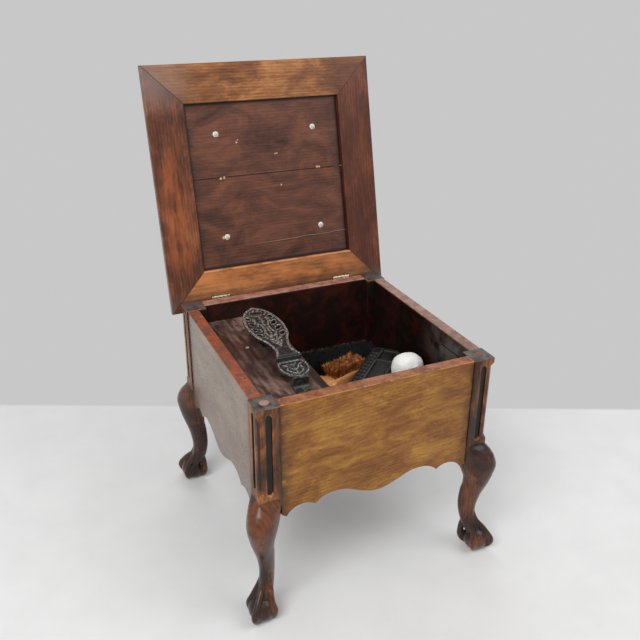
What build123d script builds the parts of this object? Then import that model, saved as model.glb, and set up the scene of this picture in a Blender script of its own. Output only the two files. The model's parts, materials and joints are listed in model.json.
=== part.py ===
from build123d import *

import os
from math import cos, radians, sin, sqrt

# A square wooden shoe shine box on carved cabriole legs. Its framed lid, which carries a
# tufted leather seat, is hinged along the back and stands open, leaning on the back posts.
# A shelf inside carries an iron foot rest, and the brushes stand in the deep compartment.
#
# Millimetres, +Z up, +X to the sitter's right, +Y to the back. The origin is on the floor,
# under the middle of the whole object with its lid open.

# ---------------------------------------------------------------- case
CASE = 380.0                # width and depth over the corner posts
RIM = 360.0                 # height of the open rim
POST = 35.0                 # side of a corner post
BOARD = 19.0                # thickness of a side board
RECESS = 2.5                # board faces stand this far behind the post faces
TENON_LONG = 10.0
TENON_THICK = 8.0
TENON_SHOULDER = 14.0       # tenon stops this far below the rim and above the apron edge
FIT = 0.1                   # joiner's clearance round tenons, boards and shelves
RIM_ARRIS = 1.2             # rounding along the tops of the boards

# Scalloped lower edge of the boards, from the middle outwards
DROP_Z = 174.0              # lowest point of the middle drop
OGEE_X, OGEE_Z = 24.0, 179.0
RISE_X, RISE_Z = 47.0, 189.0
ARCH_X, ARCH_Z = 73.0, 193.5
CUSP_X, CUSP_Z = 103.0, 180.3
SMALL_ARCH_Z = 187.1
TIP_IN, TIP_Z = 7.0, 172.0  # outer point of the small arch, in from the post
HEEL_Z = 176.0              # edge where it meets the post

# ---------------------------------------------------------------- posts and legs
CANT = 7.0                  # chamfer on a post's outer corner
CANT_LOW = 222.0
CANT_BELOW_RIM = 14.0
CANT_STOP = 6.0             # height of the sloped stop at each end of it
FLUTE_WIDE = 9.0
FLUTE_DEEP = 3.5
FLUTE_LOW = 216.6
FLUTE_BELOW_RIM = 10.0
PLUG_WIDE, PLUG_LONG = 13.0, 12.0

KNEE_TOP = 205.0            # where the square post turns into the carved leg
# Sections down the leg, measured outwards along its diagonal from the post's outer corner:
# height, outer side, inner side, half width, roundness (0 square, 1 round)
LEG_SECTIONS = (
    (200.0, 1.5, -48.0, 24.5, 0.10),
    (185.0, 15.0, -46.0, 24.0, 0.40),
    (170.0, 21.0, -43.0, 23.5, 0.65),
    (155.0, 18.5, -35.5, 21.0, 0.80),
    (140.0, 14.5, -29.5, 17.5, 0.95),
    (125.0, 9.0, -29.0, 14.6, 1.0),
    (110.0, 2.9, -31.8, 12.9, 1.0),
    (95.0, -1.2, -33.3, 11.5, 1.0),
    (80.0, -3.7, -33.3, 10.9, 1.0),
    (65.0, -3.3, -30.8, 11.0, 1.0),
    (52.0, 0.5, -27.0, 11.5, 1.0),
    (40.0, 7.0, -21.0, 12.5, 1.0),
    (26.0, 10.0, -14.0, 12.0, 1.0),
)
ROUND_HANDLE = 0.5523       # Bezier handle of a quarter circle, as a share of its radius

BALL_R = 20.5
BALL_OUT, BALL_Z = 2.2, 18.0        # its centre, outwards from the post corner, and height
TOE_ROOT_R, TOE_R, TOE_TIP_R = 4.0, 4.6, 2.8
TOE_JOINT_R, TOE_NAIL_R = 5.4, 3.3          # rounded knuckle and nail end
TOE_TIP_Z = 5.0
# Each toe: turn from straight outwards, then its root, knuckle and nail tip as reach
# from the ball's centre line, and the heights of the root and the knuckle
TOES = (
    (0.0, -9.0, 25.6, 18.5, 53.0, 18.0),
    (90.0, 2.0, 19.8, 17.0, 47.0, 20.0),
    (270.0, 2.0, 19.8, 17.0, 47.0, 20.0),
    (180.0, 20.0, 25.6, 19.0, 44.0, 16.0),
)

# ---------------------------------------------------------------- floor of the box and shelf
BOTTOM_TOP = 218.0
BOTTOM_THICK = 9.0
CLEAT = 12.0                # square strip under the bottom boards
SHELF_BELOW_RIM = 34.0
SHELF_THICK = 10.0
SHELF_WIDE = 119.5          # from the left board
LEDGER_THICK, LEDGER_TALL = 10.0, 12.0
BOARD_GAP = 0.6             # between the two bottom boards, and between the lid boards
KERF_UP, KERF_WIDE, KERF_DEEP = 9.0, 2.2, 3.0       # groove in the right-hand board, above the shelf
KERF_LONG, KERF_FROM_POST = 66.0, 10.0
NAIL_R, NAIL_HEAD_R, NAIL_HEAD_T = 0.9, 2.4, 0.8
NAIL_LONG = 18.0

# ---------------------------------------------------------------- lid
LID_OPEN = 103.2            # degrees from shut
LID_WIDE = 410.0
LID_FRONT = 393.5           # hinge pin to front edge
LID_OVERHANG = 19.5         # hinge pin to back edge
LID_THICK = 20.0
LID_SEAT = 0.5              # gap between the rim and the lid, shut
STILE_WIDE = 64.0
REAR_RAIL, FRONT_RAIL = 67.0, 64.5
ARRIS_LOW, ARRIS_HIGH, ARRIS_IN = 3.5, 8.0, 2.0
REBATE_WIDE, REBATE_DEEP = 12.0, 11.0
PANEL_THICK = 10.0
PANEL_JOINT = 204.0         # hinge pin to the joint of the two lid boards

PAD_SIDE = 300.0
PAD_TALL = 38.0
PAD_CORNER, PAD_ARRIS, PAD_FOOT = 24.0, 15.0, 4.0
TUFT_X = 90.0               # buttons, either side of the middle
TUFT_V = (101.0, 277.0)     # hinge pin to each row of buttons
TUFT_R, TUFT_DEEP = 12.5, 16.0
BUTTON_R, BUTTON_TALL = 9.5, 6.0
TWINE_R = 1.2
TIE_WASHER_R, TIE_WASHER_T = 5.0, 1.6
TIE_KNOT_R, TIE_TAIL = 2.1, 7.0
TIE_BORE_R = 2.0

# ---------------------------------------------------------------- hinges
HINGE_FROM_SIDE = 72.5      # hinge's middle, from the outside of the posts
HINGE_LONG = 32.0
KNUCKLE_R = 2.8
PIN_R = 1.3
PIN_OUT = 3.8               # pin axis behind the posts' back faces
PIN_UP = 0.25               # pin axis above the rim
LEAF_THICK = 1.5
LEAF_WIDE = 15.5            # below the tongue of the fixed leaf, and behind the pin on the lid
TONGUE_DROP = 1.15          # fixed leaf's tongue below the pin axis
KNUCKLE_GAP = 0.2
KNUCKLE_ROOM = 0.5          # round a knuckle, in what it turns past
RUNNING_FIT = 0.05
HINGE_SCREW_R, HINGE_SCREW_HEAD_R, HINGE_SCREW_LONG = 1.3, 2.8, 12.0
HINGE_SCREW_IN = 10.0       # screws either side of the hinge's middle
HINGE_SCREW_OFF = 9.5       # screws from the pin, down the back and across the lid

SCREW_HEAD_ANGLE = 90.0

# ---------------------------------------------------------------- iron foot rest
REST_FROM_LEFT, REST_Y = 78.5, -108.0       # heel end, from the left board and from the middle
REST_TURN = 2.0             # degrees, toe to the right
REST_LONG = 243.0
SOLE_BELOW_RIM, SOLE_THICK = 4.0, 5.0
HEEL_BELOW_SOLE, HEEL_THICK = 8.0, 4.5
STEP_U, STEP_HALF = 55.0, 20.0      # step between heel and sole
STEP_THICK = 4.5
SOLE_HALVES = ((78.0, 14.3), (112.0, 20.5), (131.0, 28.0), (168.0, 32.0), (205.0, 27.0), (229.0, 17.0))
HEEL_HALVES = ((30.0, 23.8), (13.0, 17.5))
CROWN_HOLE_U, CROWN_HOLE_R = 217.0, 6.0
PIERCED_SLOTS = ((176.0, 17.5), (155.0, 18.5), (134.0, 18.0))       # along, across
SLOT_LONG, SLOT_WIDE, SLOT_TURN = 14.0, 5.0, 38.0
TEAR_U, TEAR_V, TEAR_LONG, TEAR_WIDE = 201.0, 18.5, 11.0, 5.0
FOOT_WIDE = 25.0            # width of the two feet under the plates
FOOT_THICK = 3.5            # flange on the shelf
HEEL_FOOT = (-12.0, 16.0)   # flange, along
HEEL_NECK = (2.0, 13.0)
TOE_FOOT = (150.0, 202.0)
TOE_NECK = (170.0, 182.0)
FOOT_BEND = 7.0             # hollow between a neck and its flange
REST_SCREWS = ((-7.0, 3.0), (156.0, 0.0), (196.0, 0.0))
REST_SCREW_R, REST_SCREW_HEAD_R, REST_SCREW_LONG = 2.0, 4.0, 12.0

# ---------------------------------------------------------------- brushes and buffer
STAND_OFF = 0.3             # under each loose tool
# Each tool's place is from the inner face of the right-hand board, and from the middle
# long brush, lying on its back: its middle
LONG_FROM_RIGHT, LONG_Y = 120.0, 85.0
LONG_LONG, LONG_WIDE, LONG_BACK, LONG_TOP = 173.0, 48.0, 16.0, 268.0
LONG_CORNER = 20.0
# brown brush, lying on its back: its left end
BROWN_FROM_RIGHT, BROWN_Y, BROWN_TURN = 167.0, 17.0, 19.0
BROWN_LONG, BROWN_WIDE, BROWN_BACK, BROWN_TOP = 86.0, 28.0, 36.0, 278.0
BROWN_NECK = 6.0
BROWN_LOBES = ((9.0, -10.0, 12.0), (8.0, 9.0, 10.0))        # along, across, radius
# black brush, standing on its bristles: its middle
BLACK_FROM_RIGHT, BLACK_Y, BLACK_TURN = 90.5, -22.0, 45.0
BLACK_LONG, BLACK_WIDE, BLACK_BACK, BLACK_TOP = 164.0, 50.0, 20.0, 280.0
BLACK_CORNER = 13.0
GRIP_GROOVE = 3.0
BACK_ARRIS = 2.5
BRISTLE_IN = 3.0            # bristles stand inside the edge of the back
BRISTLE_FLARE = -3.0        # degrees
# wool buffer, standing on end: the middle of its wool
BUFFER_FROM_RIGHT, BUFFER_Y = 43.0, -49.0
WOOL_WIDE, WOOL_THICK, WOOL_TOP = 55.0, 44.0, 310.0
WOOL_CORNER, WOOL_CROWN = 21.8, 19.0     # rounding in plan and over the top
BUFFER_BLOCK, BUFFER_BLOCK_TOP = 14.0, 272.0

# ---------------------------------------------------------------- places worked out
HALF = CASE / 2
POST_IN = HALF - POST                       # inner side of the posts, from the middle
FACE = HALF - RECESS                        # outer face of a board
INSIDE = FACE - BOARD                       # inner face of a board
TIP_X = POST_IN - TIP_IN
BOTTOM_LOW = BOTTOM_TOP - BOTTOM_THICK
CANT_HIGH = RIM - CANT_BELOW_RIM
FLUTE_HIGH = RIM - FLUTE_BELOW_RIM
SHELF_TOP = RIM - SHELF_BELOW_RIM
KERF_Z = SHELF_TOP + KERF_UP
SOLE_TOP = RIM - SOLE_BELOW_RIM
HEEL_TOP = SOLE_TOP - HEEL_BELOW_SOLE
LID_LOW = LID_SEAT - PIN_UP                 # underside of the lid above the pin, shut
LID_TOP = LID_LOW + LID_THICK
OPEN_X = LID_WIDE / 2 - STILE_WIDE          # half width of the lid frame's opening
OPEN_BACK = REAR_RAIL - LID_OVERHANG        # hinge pin to the opening
OPEN_FRONT = LID_FRONT - FRONT_RAIL
PANEL_LOW = LID_TOP - REBATE_DEEP
PAD_V = (TUFT_V[0] + TUFT_V[1]) / 2         # hinge pin to the middle of the seat
PIN_Y = HALF + PIN_OUT
PIN_Z = RIM + PIN_UP
HINGES = {"left": HINGE_FROM_SIDE - HALF, "right": HALF - HINGE_FROM_SIDE}      # their middles
TILT = radians(LID_OPEN)

# The front toes reach furthest forward, and the seat's front edge furthest back
FRONT_REACH = HALF + (BALL_OUT + TOES[0][2]) / sqrt(2) + TOE_JOINT_R
BACK_REACH = (
    PIN_Y
    - (PAD_V + PAD_SIDE / 2 - PAD_ARRIS) * cos(TILT)
    + (LID_TOP + PAD_TALL - PAD_ARRIS) * sin(TILT)
    + PAD_ARRIS
)
CASE_Y = (FRONT_REACH - BACK_REACH) / 2     # middle of the case, from the origin

PLAN = Plane((0, CASE_Y, 0))                # floor, seen from above
LID = Plane(        # on the hinge pin; X along it, Y to the lid's front edge, Z out of its underside
    origin=(0, CASE_Y + PIN_Y, PIN_Z), x_dir=(1, 0, 0), z_dir=(0, -sin(TILT), -cos(TILT))
)
SEAT = Plane(       # top of the lid; X as before, Y to the hinge, Z out of the top
    origin=LID.offset(-LID_TOP).origin, x_dir=(1, 0, 0), z_dir=-LID.z_dir
)


def side_plane(turn, out):
    """An upright plane facing outwards from the middle, X to its own right, Z outwards."""
    across = Vector(1, 0, 0).rotate(Axis.Z, turn)
    outwards = Vector(0, -1, 0).rotate(Axis.Z, turn)
    return Plane(origin=PLAN.origin + outwards * out, x_dir=across, z_dir=outwards)


FRONT, RIGHT, BACK, LEFT = 0, 90, 180, 270          # turns of the four sides
SIDES = {"front": FRONT, "right": RIGHT, "back": BACK, "left": LEFT}
CORNERS = {
    "front_left": (-1, -1),
    "front_right": (1, -1),
    "back_left": (-1, 1),
    "back_right": (1, 1),
}


def finish(piece, name):
    """Labels a finished piece and writes it to its own file."""
    piece.part.label = name
    export_step(piece.part, f"parts/{name}.step")


os.makedirs("parts", exist_ok=True)


# ---------------------------------------------------------------- legs
def quarter(middle, reach, half, roundness, out, across):
    """One quarter of a leg section, from a straight side to an elliptical one."""
    handle = (1 - roundness) / 3 + roundness * ROUND_HANDLE
    back_off = (1 - roundness) * 2 / 3 + roundness
    Bezier(
        (middle + out * reach, 0),
        (middle + out * reach * back_off, across * half * handle),
        (middle + out * reach * handle, across * half * back_off),
        (middle, across * half),
    )


def leg_section(outer, inner, half, roundness):
    """A closed leg section between its outer and inner sides."""
    middle = (outer + inner) / 2
    reach = (outer - inner) / 2
    for out in (1, -1):
        for across in (1, -1):
            quarter(middle, reach, half, roundness, out, across)


def toe(turn, root, knuckle, tip, root_z, knuckle_z):
    """A claw: a straight bone to the knuckle, then a tapering nail down over the ball."""
    outwards = Vector(cos(radians(turn)), sin(radians(turn)), 0)

    def at(reach, height):
        return Vector(BALL_OUT, 0, height) + outwards * reach

    bones = (
        (at(root, root_z), at(knuckle, knuckle_z), TOE_ROOT_R, TOE_R, TOE_JOINT_R),
        (at(knuckle, knuckle_z), at(tip, TOE_TIP_Z), TOE_R, TOE_TIP_R, TOE_NAIL_R),
    )
    for start, end, start_r, end_r, knob_r in bones:
        with Locations(Plane(origin=start, z_dir=end - start)):
            Cone(
                start_r, end_r, (end - start).length,
                align=(Align.CENTER, Align.CENTER, Align.MIN),
            )
        with Locations(end):
            Sphere(knob_r)


def make_leg(side_x, side_y):
    """A corner post and the cabriole leg below it, in one piece."""
    out = Vector(side_x, side_y, 0).normalized()
    corner = Plane(
        origin=PLAN.origin + Vector(side_x * HALF, side_y * HALF, 0), x_dir=out, z_dir=(0, 0, 1)
    )
    diagonal = POST * sqrt(2)
    with BuildPart(corner) as leg:
        with BuildSketch(corner.offset(KNEE_TOP)):
            with BuildLine():
                leg_section(0, -diagonal, diagonal / 2, 0)
            make_face()
        for height, outer, inner, half, roundness in LEG_SECTIONS:
            with BuildSketch(corner.offset(height)):
                with BuildLine():
                    leg_section(outer, inner, half, roundness)
                make_face()
        loft()
        with BuildSketch(corner.offset(KNEE_TOP)):
            with BuildLine():
                leg_section(0, -diagonal, diagonal / 2, 0)
            make_face()
        extrude(amount=RIM - KNEE_TOP)

        with Locations((BALL_OUT, 0, BALL_Z)):
            Sphere(BALL_R)
        for claw in TOES:
            toe(*claw)
        split(bisect_by=Plane.XY, keep=Keep.TOP)

        # cant on the outer corner, with sloped stops
        depth = CANT / sqrt(2)
        with BuildSketch(Plane(origin=corner.origin, x_dir=out, z_dir=out.cross(Vector(0, 0, 1)))):
            Polygon(
                (CANT_STOP, CANT_LOW - CANT_STOP),
                (0, CANT_LOW - CANT_STOP),
                (-depth, CANT_LOW),
                (-depth, CANT_HIGH),
                (0, CANT_HIGH + CANT_STOP),
                (CANT_STOP, CANT_HIGH + CANT_STOP),
                align=None,
            )
        extrude(amount=POST, both=True, mode=Mode.SUBTRACT)

        # a flute and, on the hidden faces, a mortise for each side
        middle = HALF - POST / 2
        faces = (
            (Vector(side_x, 0, 0), Vector(side_x * HALF, side_y * middle, 0)),
            (Vector(0, side_y, 0), Vector(side_x * middle, side_y * HALF, 0)),
        )
        for normal, place in faces:
            flute = Plane(
                origin=PLAN.origin + place + Vector(0, 0, (FLUTE_LOW + FLUTE_HIGH) / 2),
                x_dir=(0, 0, 1),
                z_dir=normal,
            )
            with BuildSketch(flute):
                SlotOverall(FLUTE_HIGH - FLUTE_LOW, FLUTE_WIDE)
            extrude(amount=-FLUTE_DEEP, mode=Mode.SUBTRACT)
        tenon_low = HEEL_Z + TENON_SHOULDER - FIT
        tenon_high = RIM - TENON_SHOULDER + FIT
        board_middle = FACE - BOARD / 2
        for normal, place in (
            (Vector(-side_x, 0, 0), Vector(side_x * POST_IN, side_y * board_middle, 0)),
            (Vector(0, -side_y, 0), Vector(side_x * board_middle, side_y * POST_IN, 0)),
        ):
            mortise = Plane(
                origin=PLAN.origin + place + Vector(0, 0, (tenon_low + tenon_high) / 2),
                x_dir=(0, 0, 1),
                z_dir=normal,
            )
            with BuildSketch(mortise):
                Rectangle(tenon_high - tenon_low, TENON_THICK + 2 * FIT)
            extrude(amount=-(TENON_LONG + FIT), mode=Mode.SUBTRACT)
        if side_y < 0:
            with BuildSketch(Plane(origin=corner.origin - out * diagonal / 2 + Vector(0, 0, RIM))):
                Circle(PLUG_WIDE / 2)
            extrude(amount=-PLUG_LONG, mode=Mode.SUBTRACT)
    return leg


for name, (side_x, side_y) in CORNERS.items():
    finish(make_leg(side_x, side_y), f"leg_{name}")

with BuildPart(PLAN) as post_plugs:
    plug_at = HALF - POST / 2
    with BuildSketch(PLAN.offset(RIM)):
        with Locations((-plug_at, -plug_at), (plug_at, -plug_at)):
            Circle(PLUG_WIDE / 2)
    extrude(amount=-PLUG_LONG)
finish(post_plugs, "post_plugs")


# ---------------------------------------------------------------- side boards
def apron_half(side):
    """The scalloped lower edge from the middle to one post."""
    Spline(
        (0, DROP_Z),
        (side * OGEE_X, OGEE_Z),
        (side * RISE_X, RISE_Z),
        (side * ARCH_X, ARCH_Z),
        tangents=((side, 0), (side, 0)),
    )
    TangentArc((side * ARCH_X, ARCH_Z), (side * CUSP_X, CUSP_Z), tangent=(side, 0))
    ThreePointArc(
        (side * CUSP_X, CUSP_Z),
        (side * (CUSP_X + TIP_X) / 2, SMALL_ARCH_Z),
        (side * TIP_X, TIP_Z),
    )
    Polyline((side * TIP_X, TIP_Z), (side * POST_IN, HEEL_Z), (side * POST_IN, RIM))


def on_back(out, middles):
    """Where the hinge screws go in on the back, facing outwards, for hinges at these middles."""
    return [
        Plane(
            origin=(x + end * HINGE_SCREW_IN, out, PIN_Z - HINGE_SCREW_OFF),
            x_dir=(-1, 0, 0), z_dir=(0, 1, 0),
        )
        for x in middles
        for end in (-1, 1)
    ]


def make_board(turn):
    """A side board with its scalloped edge and a tenon at each end."""
    outer = side_plane(turn, FACE)
    middle = side_plane(turn, FACE - (BOARD - TENON_THICK) / 2)
    with BuildPart(PLAN) as board:
        with BuildSketch(outer):
            with BuildLine():
                apron_half(1)
                apron_half(-1)
                Line((-POST_IN, RIM), (POST_IN, RIM))
            make_face()
        extrude(amount=-BOARD)
        tops = board.edges().filter_by(Axis((0, 0, 0), outer.x_dir)).group_by(Axis.Z)[-1]
        fillet(tops, RIM_ARRIS)
        low = HEEL_Z + TENON_SHOULDER
        high = RIM - TENON_SHOULDER
        with BuildSketch(middle):
            for side in (-1, 1):
                with Locations((side * (POST_IN + TENON_LONG / 2), (low + high) / 2)):
                    Rectangle(TENON_LONG, high - low)
        extrude(amount=-TENON_THICK)
        if turn == BACK:
            with Locations(*on_back(FACE, HINGES.values())):
                Hole(HINGE_SCREW_R, depth=HINGE_SCREW_LONG - LEAF_THICK)
        if turn == RIGHT:
            with Locations(
                (INSIDE, -POST_IN + KERF_FROM_POST, KERF_Z),
            ):
                Box(
                    2 * KERF_DEEP, KERF_LONG, KERF_WIDE,
                    align=(Align.CENTER, Align.MIN, Align.CENTER), mode=Mode.SUBTRACT,
                )
    return board


for name, turn in SIDES.items():
    finish(make_board(turn), f"{name}_board")


# ---------------------------------------------------------------- bottom, shelf and their strips
BOTTOM_NAILS = [
    (side * (INSIDE - CLEAT / 2), place)
    for side in (-1, 1)
    for place in (-POST_IN + 2 * CLEAT, -2 * CLEAT, 2 * CLEAT, POST_IN - 2 * CLEAT)
]
SHELF_EDGE = -INSIDE + SHELF_WIDE           # right-hand edge of the shelf
LEDGER_Y = INSIDE - LEDGER_THICK / 2
SHELF_NAILS = [
    (x, side * LEDGER_Y)
    for x in (-POST_IN + 2 * LEDGER_THICK, SHELF_EDGE - 2 * LEDGER_THICK)
    for side in (-1, 1)
]


def nail_bores(places, top, depth):
    """Bores under nails whose heads are sunk flush in the piece above."""
    with Locations(*[(x, y, top) for x, y in places]):
        Hole(NAIL_R, depth=depth)


def nail_seats(places, top):
    """Bores through a board with a sinking for each nail's head."""
    with Locations(*[(x, y, top) for x, y in places]):
        CounterBoreHole(NAIL_R, NAIL_HEAD_R, NAIL_HEAD_T)


def make_nails(plane, places, top):
    """Flat-headed nails, flush with the top of their board."""
    with BuildPart(plane) as nails:
        with BuildSketch(plane.offset(top)):
            with Locations(*places):
                Circle(NAIL_HEAD_R)
        extrude(amount=-NAIL_HEAD_T)
        with BuildSketch(plane.offset(top)):
            with Locations(*places):
                Circle(NAIL_R)
        extrude(amount=-NAIL_LONG)
    return nails


for name, side in (("left", -1), ("right", 1)):
    with BuildPart(PLAN) as cleat:
        with Locations((side * INSIDE, 0, BOTTOM_LOW)):
            Box(
                CLEAT, 2 * (POST_IN - FIT), CLEAT,
                align=(Align.MAX if side > 0 else Align.MIN, Align.CENTER, Align.MAX),
            )
        nail_bores(
            [nail for nail in BOTTOM_NAILS if nail[0] * side > 0],
            BOTTOM_LOW, NAIL_LONG - BOTTOM_THICK,
        )
    finish(cleat, f"bottom_cleat_{name}")

for name, side in (("front", -1), ("back", 1)):
    with BuildPart(PLAN) as bottom_board:
        with BuildSketch(PLAN.offset(BOTTOM_TOP)):
            reach = INSIDE - FIT
            with Locations((0, side * (reach + BOARD_GAP / 2) / 2)):
                Rectangle(2 * reach, reach - BOARD_GAP / 2)
            with Locations((-INSIDE, side * INSIDE), (INSIDE, side * INSIDE)):
                Rectangle(2 * (INSIDE - POST_IN + FIT), 2 * (INSIDE - POST_IN + FIT), mode=Mode.SUBTRACT)
        extrude(amount=-BOTTOM_THICK)
        nail_seats([nail for nail in BOTTOM_NAILS if nail[1] * side > 0], BOTTOM_TOP)
    finish(bottom_board, f"bottom_board_{name}")

finish(make_nails(PLAN, BOTTOM_NAILS, BOTTOM_TOP), "bottom_nails")

for name, side in (("front", -1), ("back", 1)):
    with BuildPart(PLAN) as ledger:
        with Locations((-POST_IN + FIT, side * INSIDE, SHELF_TOP - SHELF_THICK)):
            Box(
                SHELF_EDGE + POST_IN - 2 * FIT, LEDGER_THICK, LEDGER_TALL,
                align=(Align.MIN, Align.MAX if side > 0 else Align.MIN, Align.MAX),
            )
        nail_bores(
            [nail for nail in SHELF_NAILS if nail[1] * side > 0],
            SHELF_TOP - SHELF_THICK, NAIL_LONG - SHELF_THICK,
        )
    finish(ledger, f"shelf_ledger_{name}")

# ---------------------------------------------------------------- iron foot rest
REST_RIGHT = Vector(1, 0, 0).rotate(Axis.Z, -REST_TURN)
REST = Plane(                               # heel end; X across to the right, Y towards the toe
    origin=PLAN.origin + Vector(REST_FROM_LEFT - INSIDE, REST_Y, 0), x_dir=REST_RIGHT, z_dir=(0, 0, 1)
)
REST_SIDE = Plane(                          # the same, seen from its left: X to the toe, Y up
    origin=REST.origin, x_dir=REST.y_dir, z_dir=REST.x_dir
)

with BuildPart(PLAN) as shelf_board:
    with BuildSketch(PLAN.offset(SHELF_TOP)):
        with Locations((-INSIDE + FIT, 0)):
            Rectangle(SHELF_WIDE, 2 * (INSIDE - FIT), align=(Align.MIN, Align.CENTER))
        with Locations((-INSIDE, -INSIDE), (-INSIDE, INSIDE)):
            Rectangle(2 * (INSIDE - POST_IN + FIT), 2 * (INSIDE - POST_IN + FIT), mode=Mode.SUBTRACT)
    extrude(amount=-SHELF_THICK)
    nail_seats(SHELF_NAILS, SHELF_TOP)
    with BuildSketch(REST.offset(SHELF_TOP)):
        with Locations(*[(v, u) for u, v in REST_SCREWS]):
            Circle(REST_SCREW_R)
    extrude(amount=-SHELF_THICK, mode=Mode.SUBTRACT)
finish(shelf_board, "shelf_board")
finish(make_nails(PLAN, SHELF_NAILS, SHELF_TOP), "shelf_nails")


def sole_half(side):
    """One side of the sole plate's outline, from the step to the toe."""
    Spline(
        (side * STEP_HALF, STEP_U),
        *[(side * half, along) for along, half in SOLE_HALVES],
        (0, REST_LONG),
        tangents=((-side * 0.4, 1), (-side, 0)),
    )


def heel_half(side):
    """One side of the heel plate's outline, from the heel's end to the step."""
    Spline(
        (side * STEP_HALF, STEP_U),
        *[(side * half, along) for along, half in HEEL_HALVES],
        (0, 0),
        tangents=((side * 0.35, -1), (-side, 0)),
    )


def iron_foot(flange, neck, top):
    """A foot under a plate, in side view: a neck that spreads into a flange on the shelf."""
    low = SHELF_TOP
    seat = SHELF_TOP + FOOT_THICK
    RadiusArc((neck[0], seat + FOOT_BEND), (neck[0] - FOOT_BEND, seat), FOOT_BEND)
    Polyline(
        (neck[0] - FOOT_BEND, seat),
        (flange[0], seat),
        (flange[0], low),
        (flange[1], low),
        (flange[1], seat),
        (neck[1] + FOOT_BEND, seat),
    )
    RadiusArc((neck[1] + FOOT_BEND, seat), (neck[1], seat + FOOT_BEND), FOOT_BEND)
    Polyline(
        (neck[1], seat + FOOT_BEND), (neck[1], top), (neck[0], top), (neck[0], seat + FOOT_BEND)
    )


with BuildPart(REST) as foot_rest:
    with BuildSketch(REST.offset(SOLE_TOP)):
        with BuildLine():
            sole_half(1)
            sole_half(-1)
            Line((-STEP_HALF, STEP_U), (STEP_HALF, STEP_U))
        make_face()
        with Locations((0, CROWN_HOLE_U)):
            RegularPolygon(CROWN_HOLE_R, 3, mode=Mode.SUBTRACT)
        for side in (-1, 1):
            for along, across in PIERCED_SLOTS:
                with Locations(Location((side * across, along), side * SLOT_TURN)):
                    SlotOverall(SLOT_LONG, SLOT_WIDE, mode=Mode.SUBTRACT)
            with Locations(Location((side * TEAR_V, TEAR_U), side * (90 + SLOT_TURN))):
                SlotOverall(TEAR_LONG, TEAR_WIDE, mode=Mode.SUBTRACT)
    extrude(amount=-SOLE_THICK)
    with BuildSketch(REST.offset(HEEL_TOP)):
        with BuildLine():
            heel_half(1)
            heel_half(-1)
            Line((-STEP_HALF, STEP_U), (STEP_HALF, STEP_U))
        make_face()
    extrude(amount=-HEEL_THICK)
    with Locations((0, STEP_U, HEEL_TOP - HEEL_THICK)):
        Box(
            2 * STEP_HALF, STEP_THICK, SOLE_TOP - HEEL_TOP + HEEL_THICK,
            align=(Align.CENTER, Align.CENTER, Align.MIN),
        )
    for flange, neck, top in (
        (HEEL_FOOT, HEEL_NECK, HEEL_TOP - HEEL_THICK),
        (TOE_FOOT, TOE_NECK, SOLE_TOP - SOLE_THICK),
    ):
        with BuildSketch(REST_SIDE):
            with BuildLine():
                iron_foot(flange, neck, top)
            make_face()
        extrude(amount=FOOT_WIDE / 2, both=True)
    with Locations(*[(v, u, SHELF_TOP + FOOT_THICK) for u, v in REST_SCREWS]):
        CounterSinkHole(REST_SCREW_R, REST_SCREW_HEAD_R, FOOT_THICK, SCREW_HEAD_ANGLE)
finish(foot_rest, "foot_rest")


def make_screws(plane, places, top, radius, head_radius, length):
    """Countersunk wood screws with slotted heads, pointing down from their plane."""
    head = head_radius - radius
    with BuildPart(plane) as screws:
        with Locations(*[(x, y, top) for x, y in places]):
            Cone(radius, head_radius, head, align=(Align.CENTER, Align.CENTER, Align.MAX))
        with Locations(*[(x, y, top - head) for x, y in places]):
            Cylinder(radius, length - head, align=(Align.CENTER, Align.CENTER, Align.MAX))
        with Locations(*[(x, y, top) for x, y in places]):
            Box(2 * head_radius, head / 2, head / 2, align=(Align.CENTER, Align.CENTER, Align.MAX),
                mode=Mode.SUBTRACT)
    return screws


finish(
    make_screws(
        REST, [(v, u) for u, v in REST_SCREWS], SHELF_TOP + FOOT_THICK,
        REST_SCREW_R, REST_SCREW_HEAD_R, REST_SCREW_LONG,
    ),
    "foot_rest_screws",
)

# ---------------------------------------------------------------- hinges
KNUCKLE_LONG = (HINGE_LONG - 2 * KNUCKLE_GAP) / 3
KNUCKLE_STEP = KNUCKLE_LONG + KNUCKLE_GAP           # from one knuckle's middle to the next
TONGUE_Z = PIN_Z - TONGUE_DROP


def knuckle(x, y, z, radius, long, mode=Mode.ADD):
    """A round along the hinge pin's direction."""
    with Locations(Location((x, y, z), (0, 90, 0))):
        Cylinder(radius, long, mode=mode)


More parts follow.
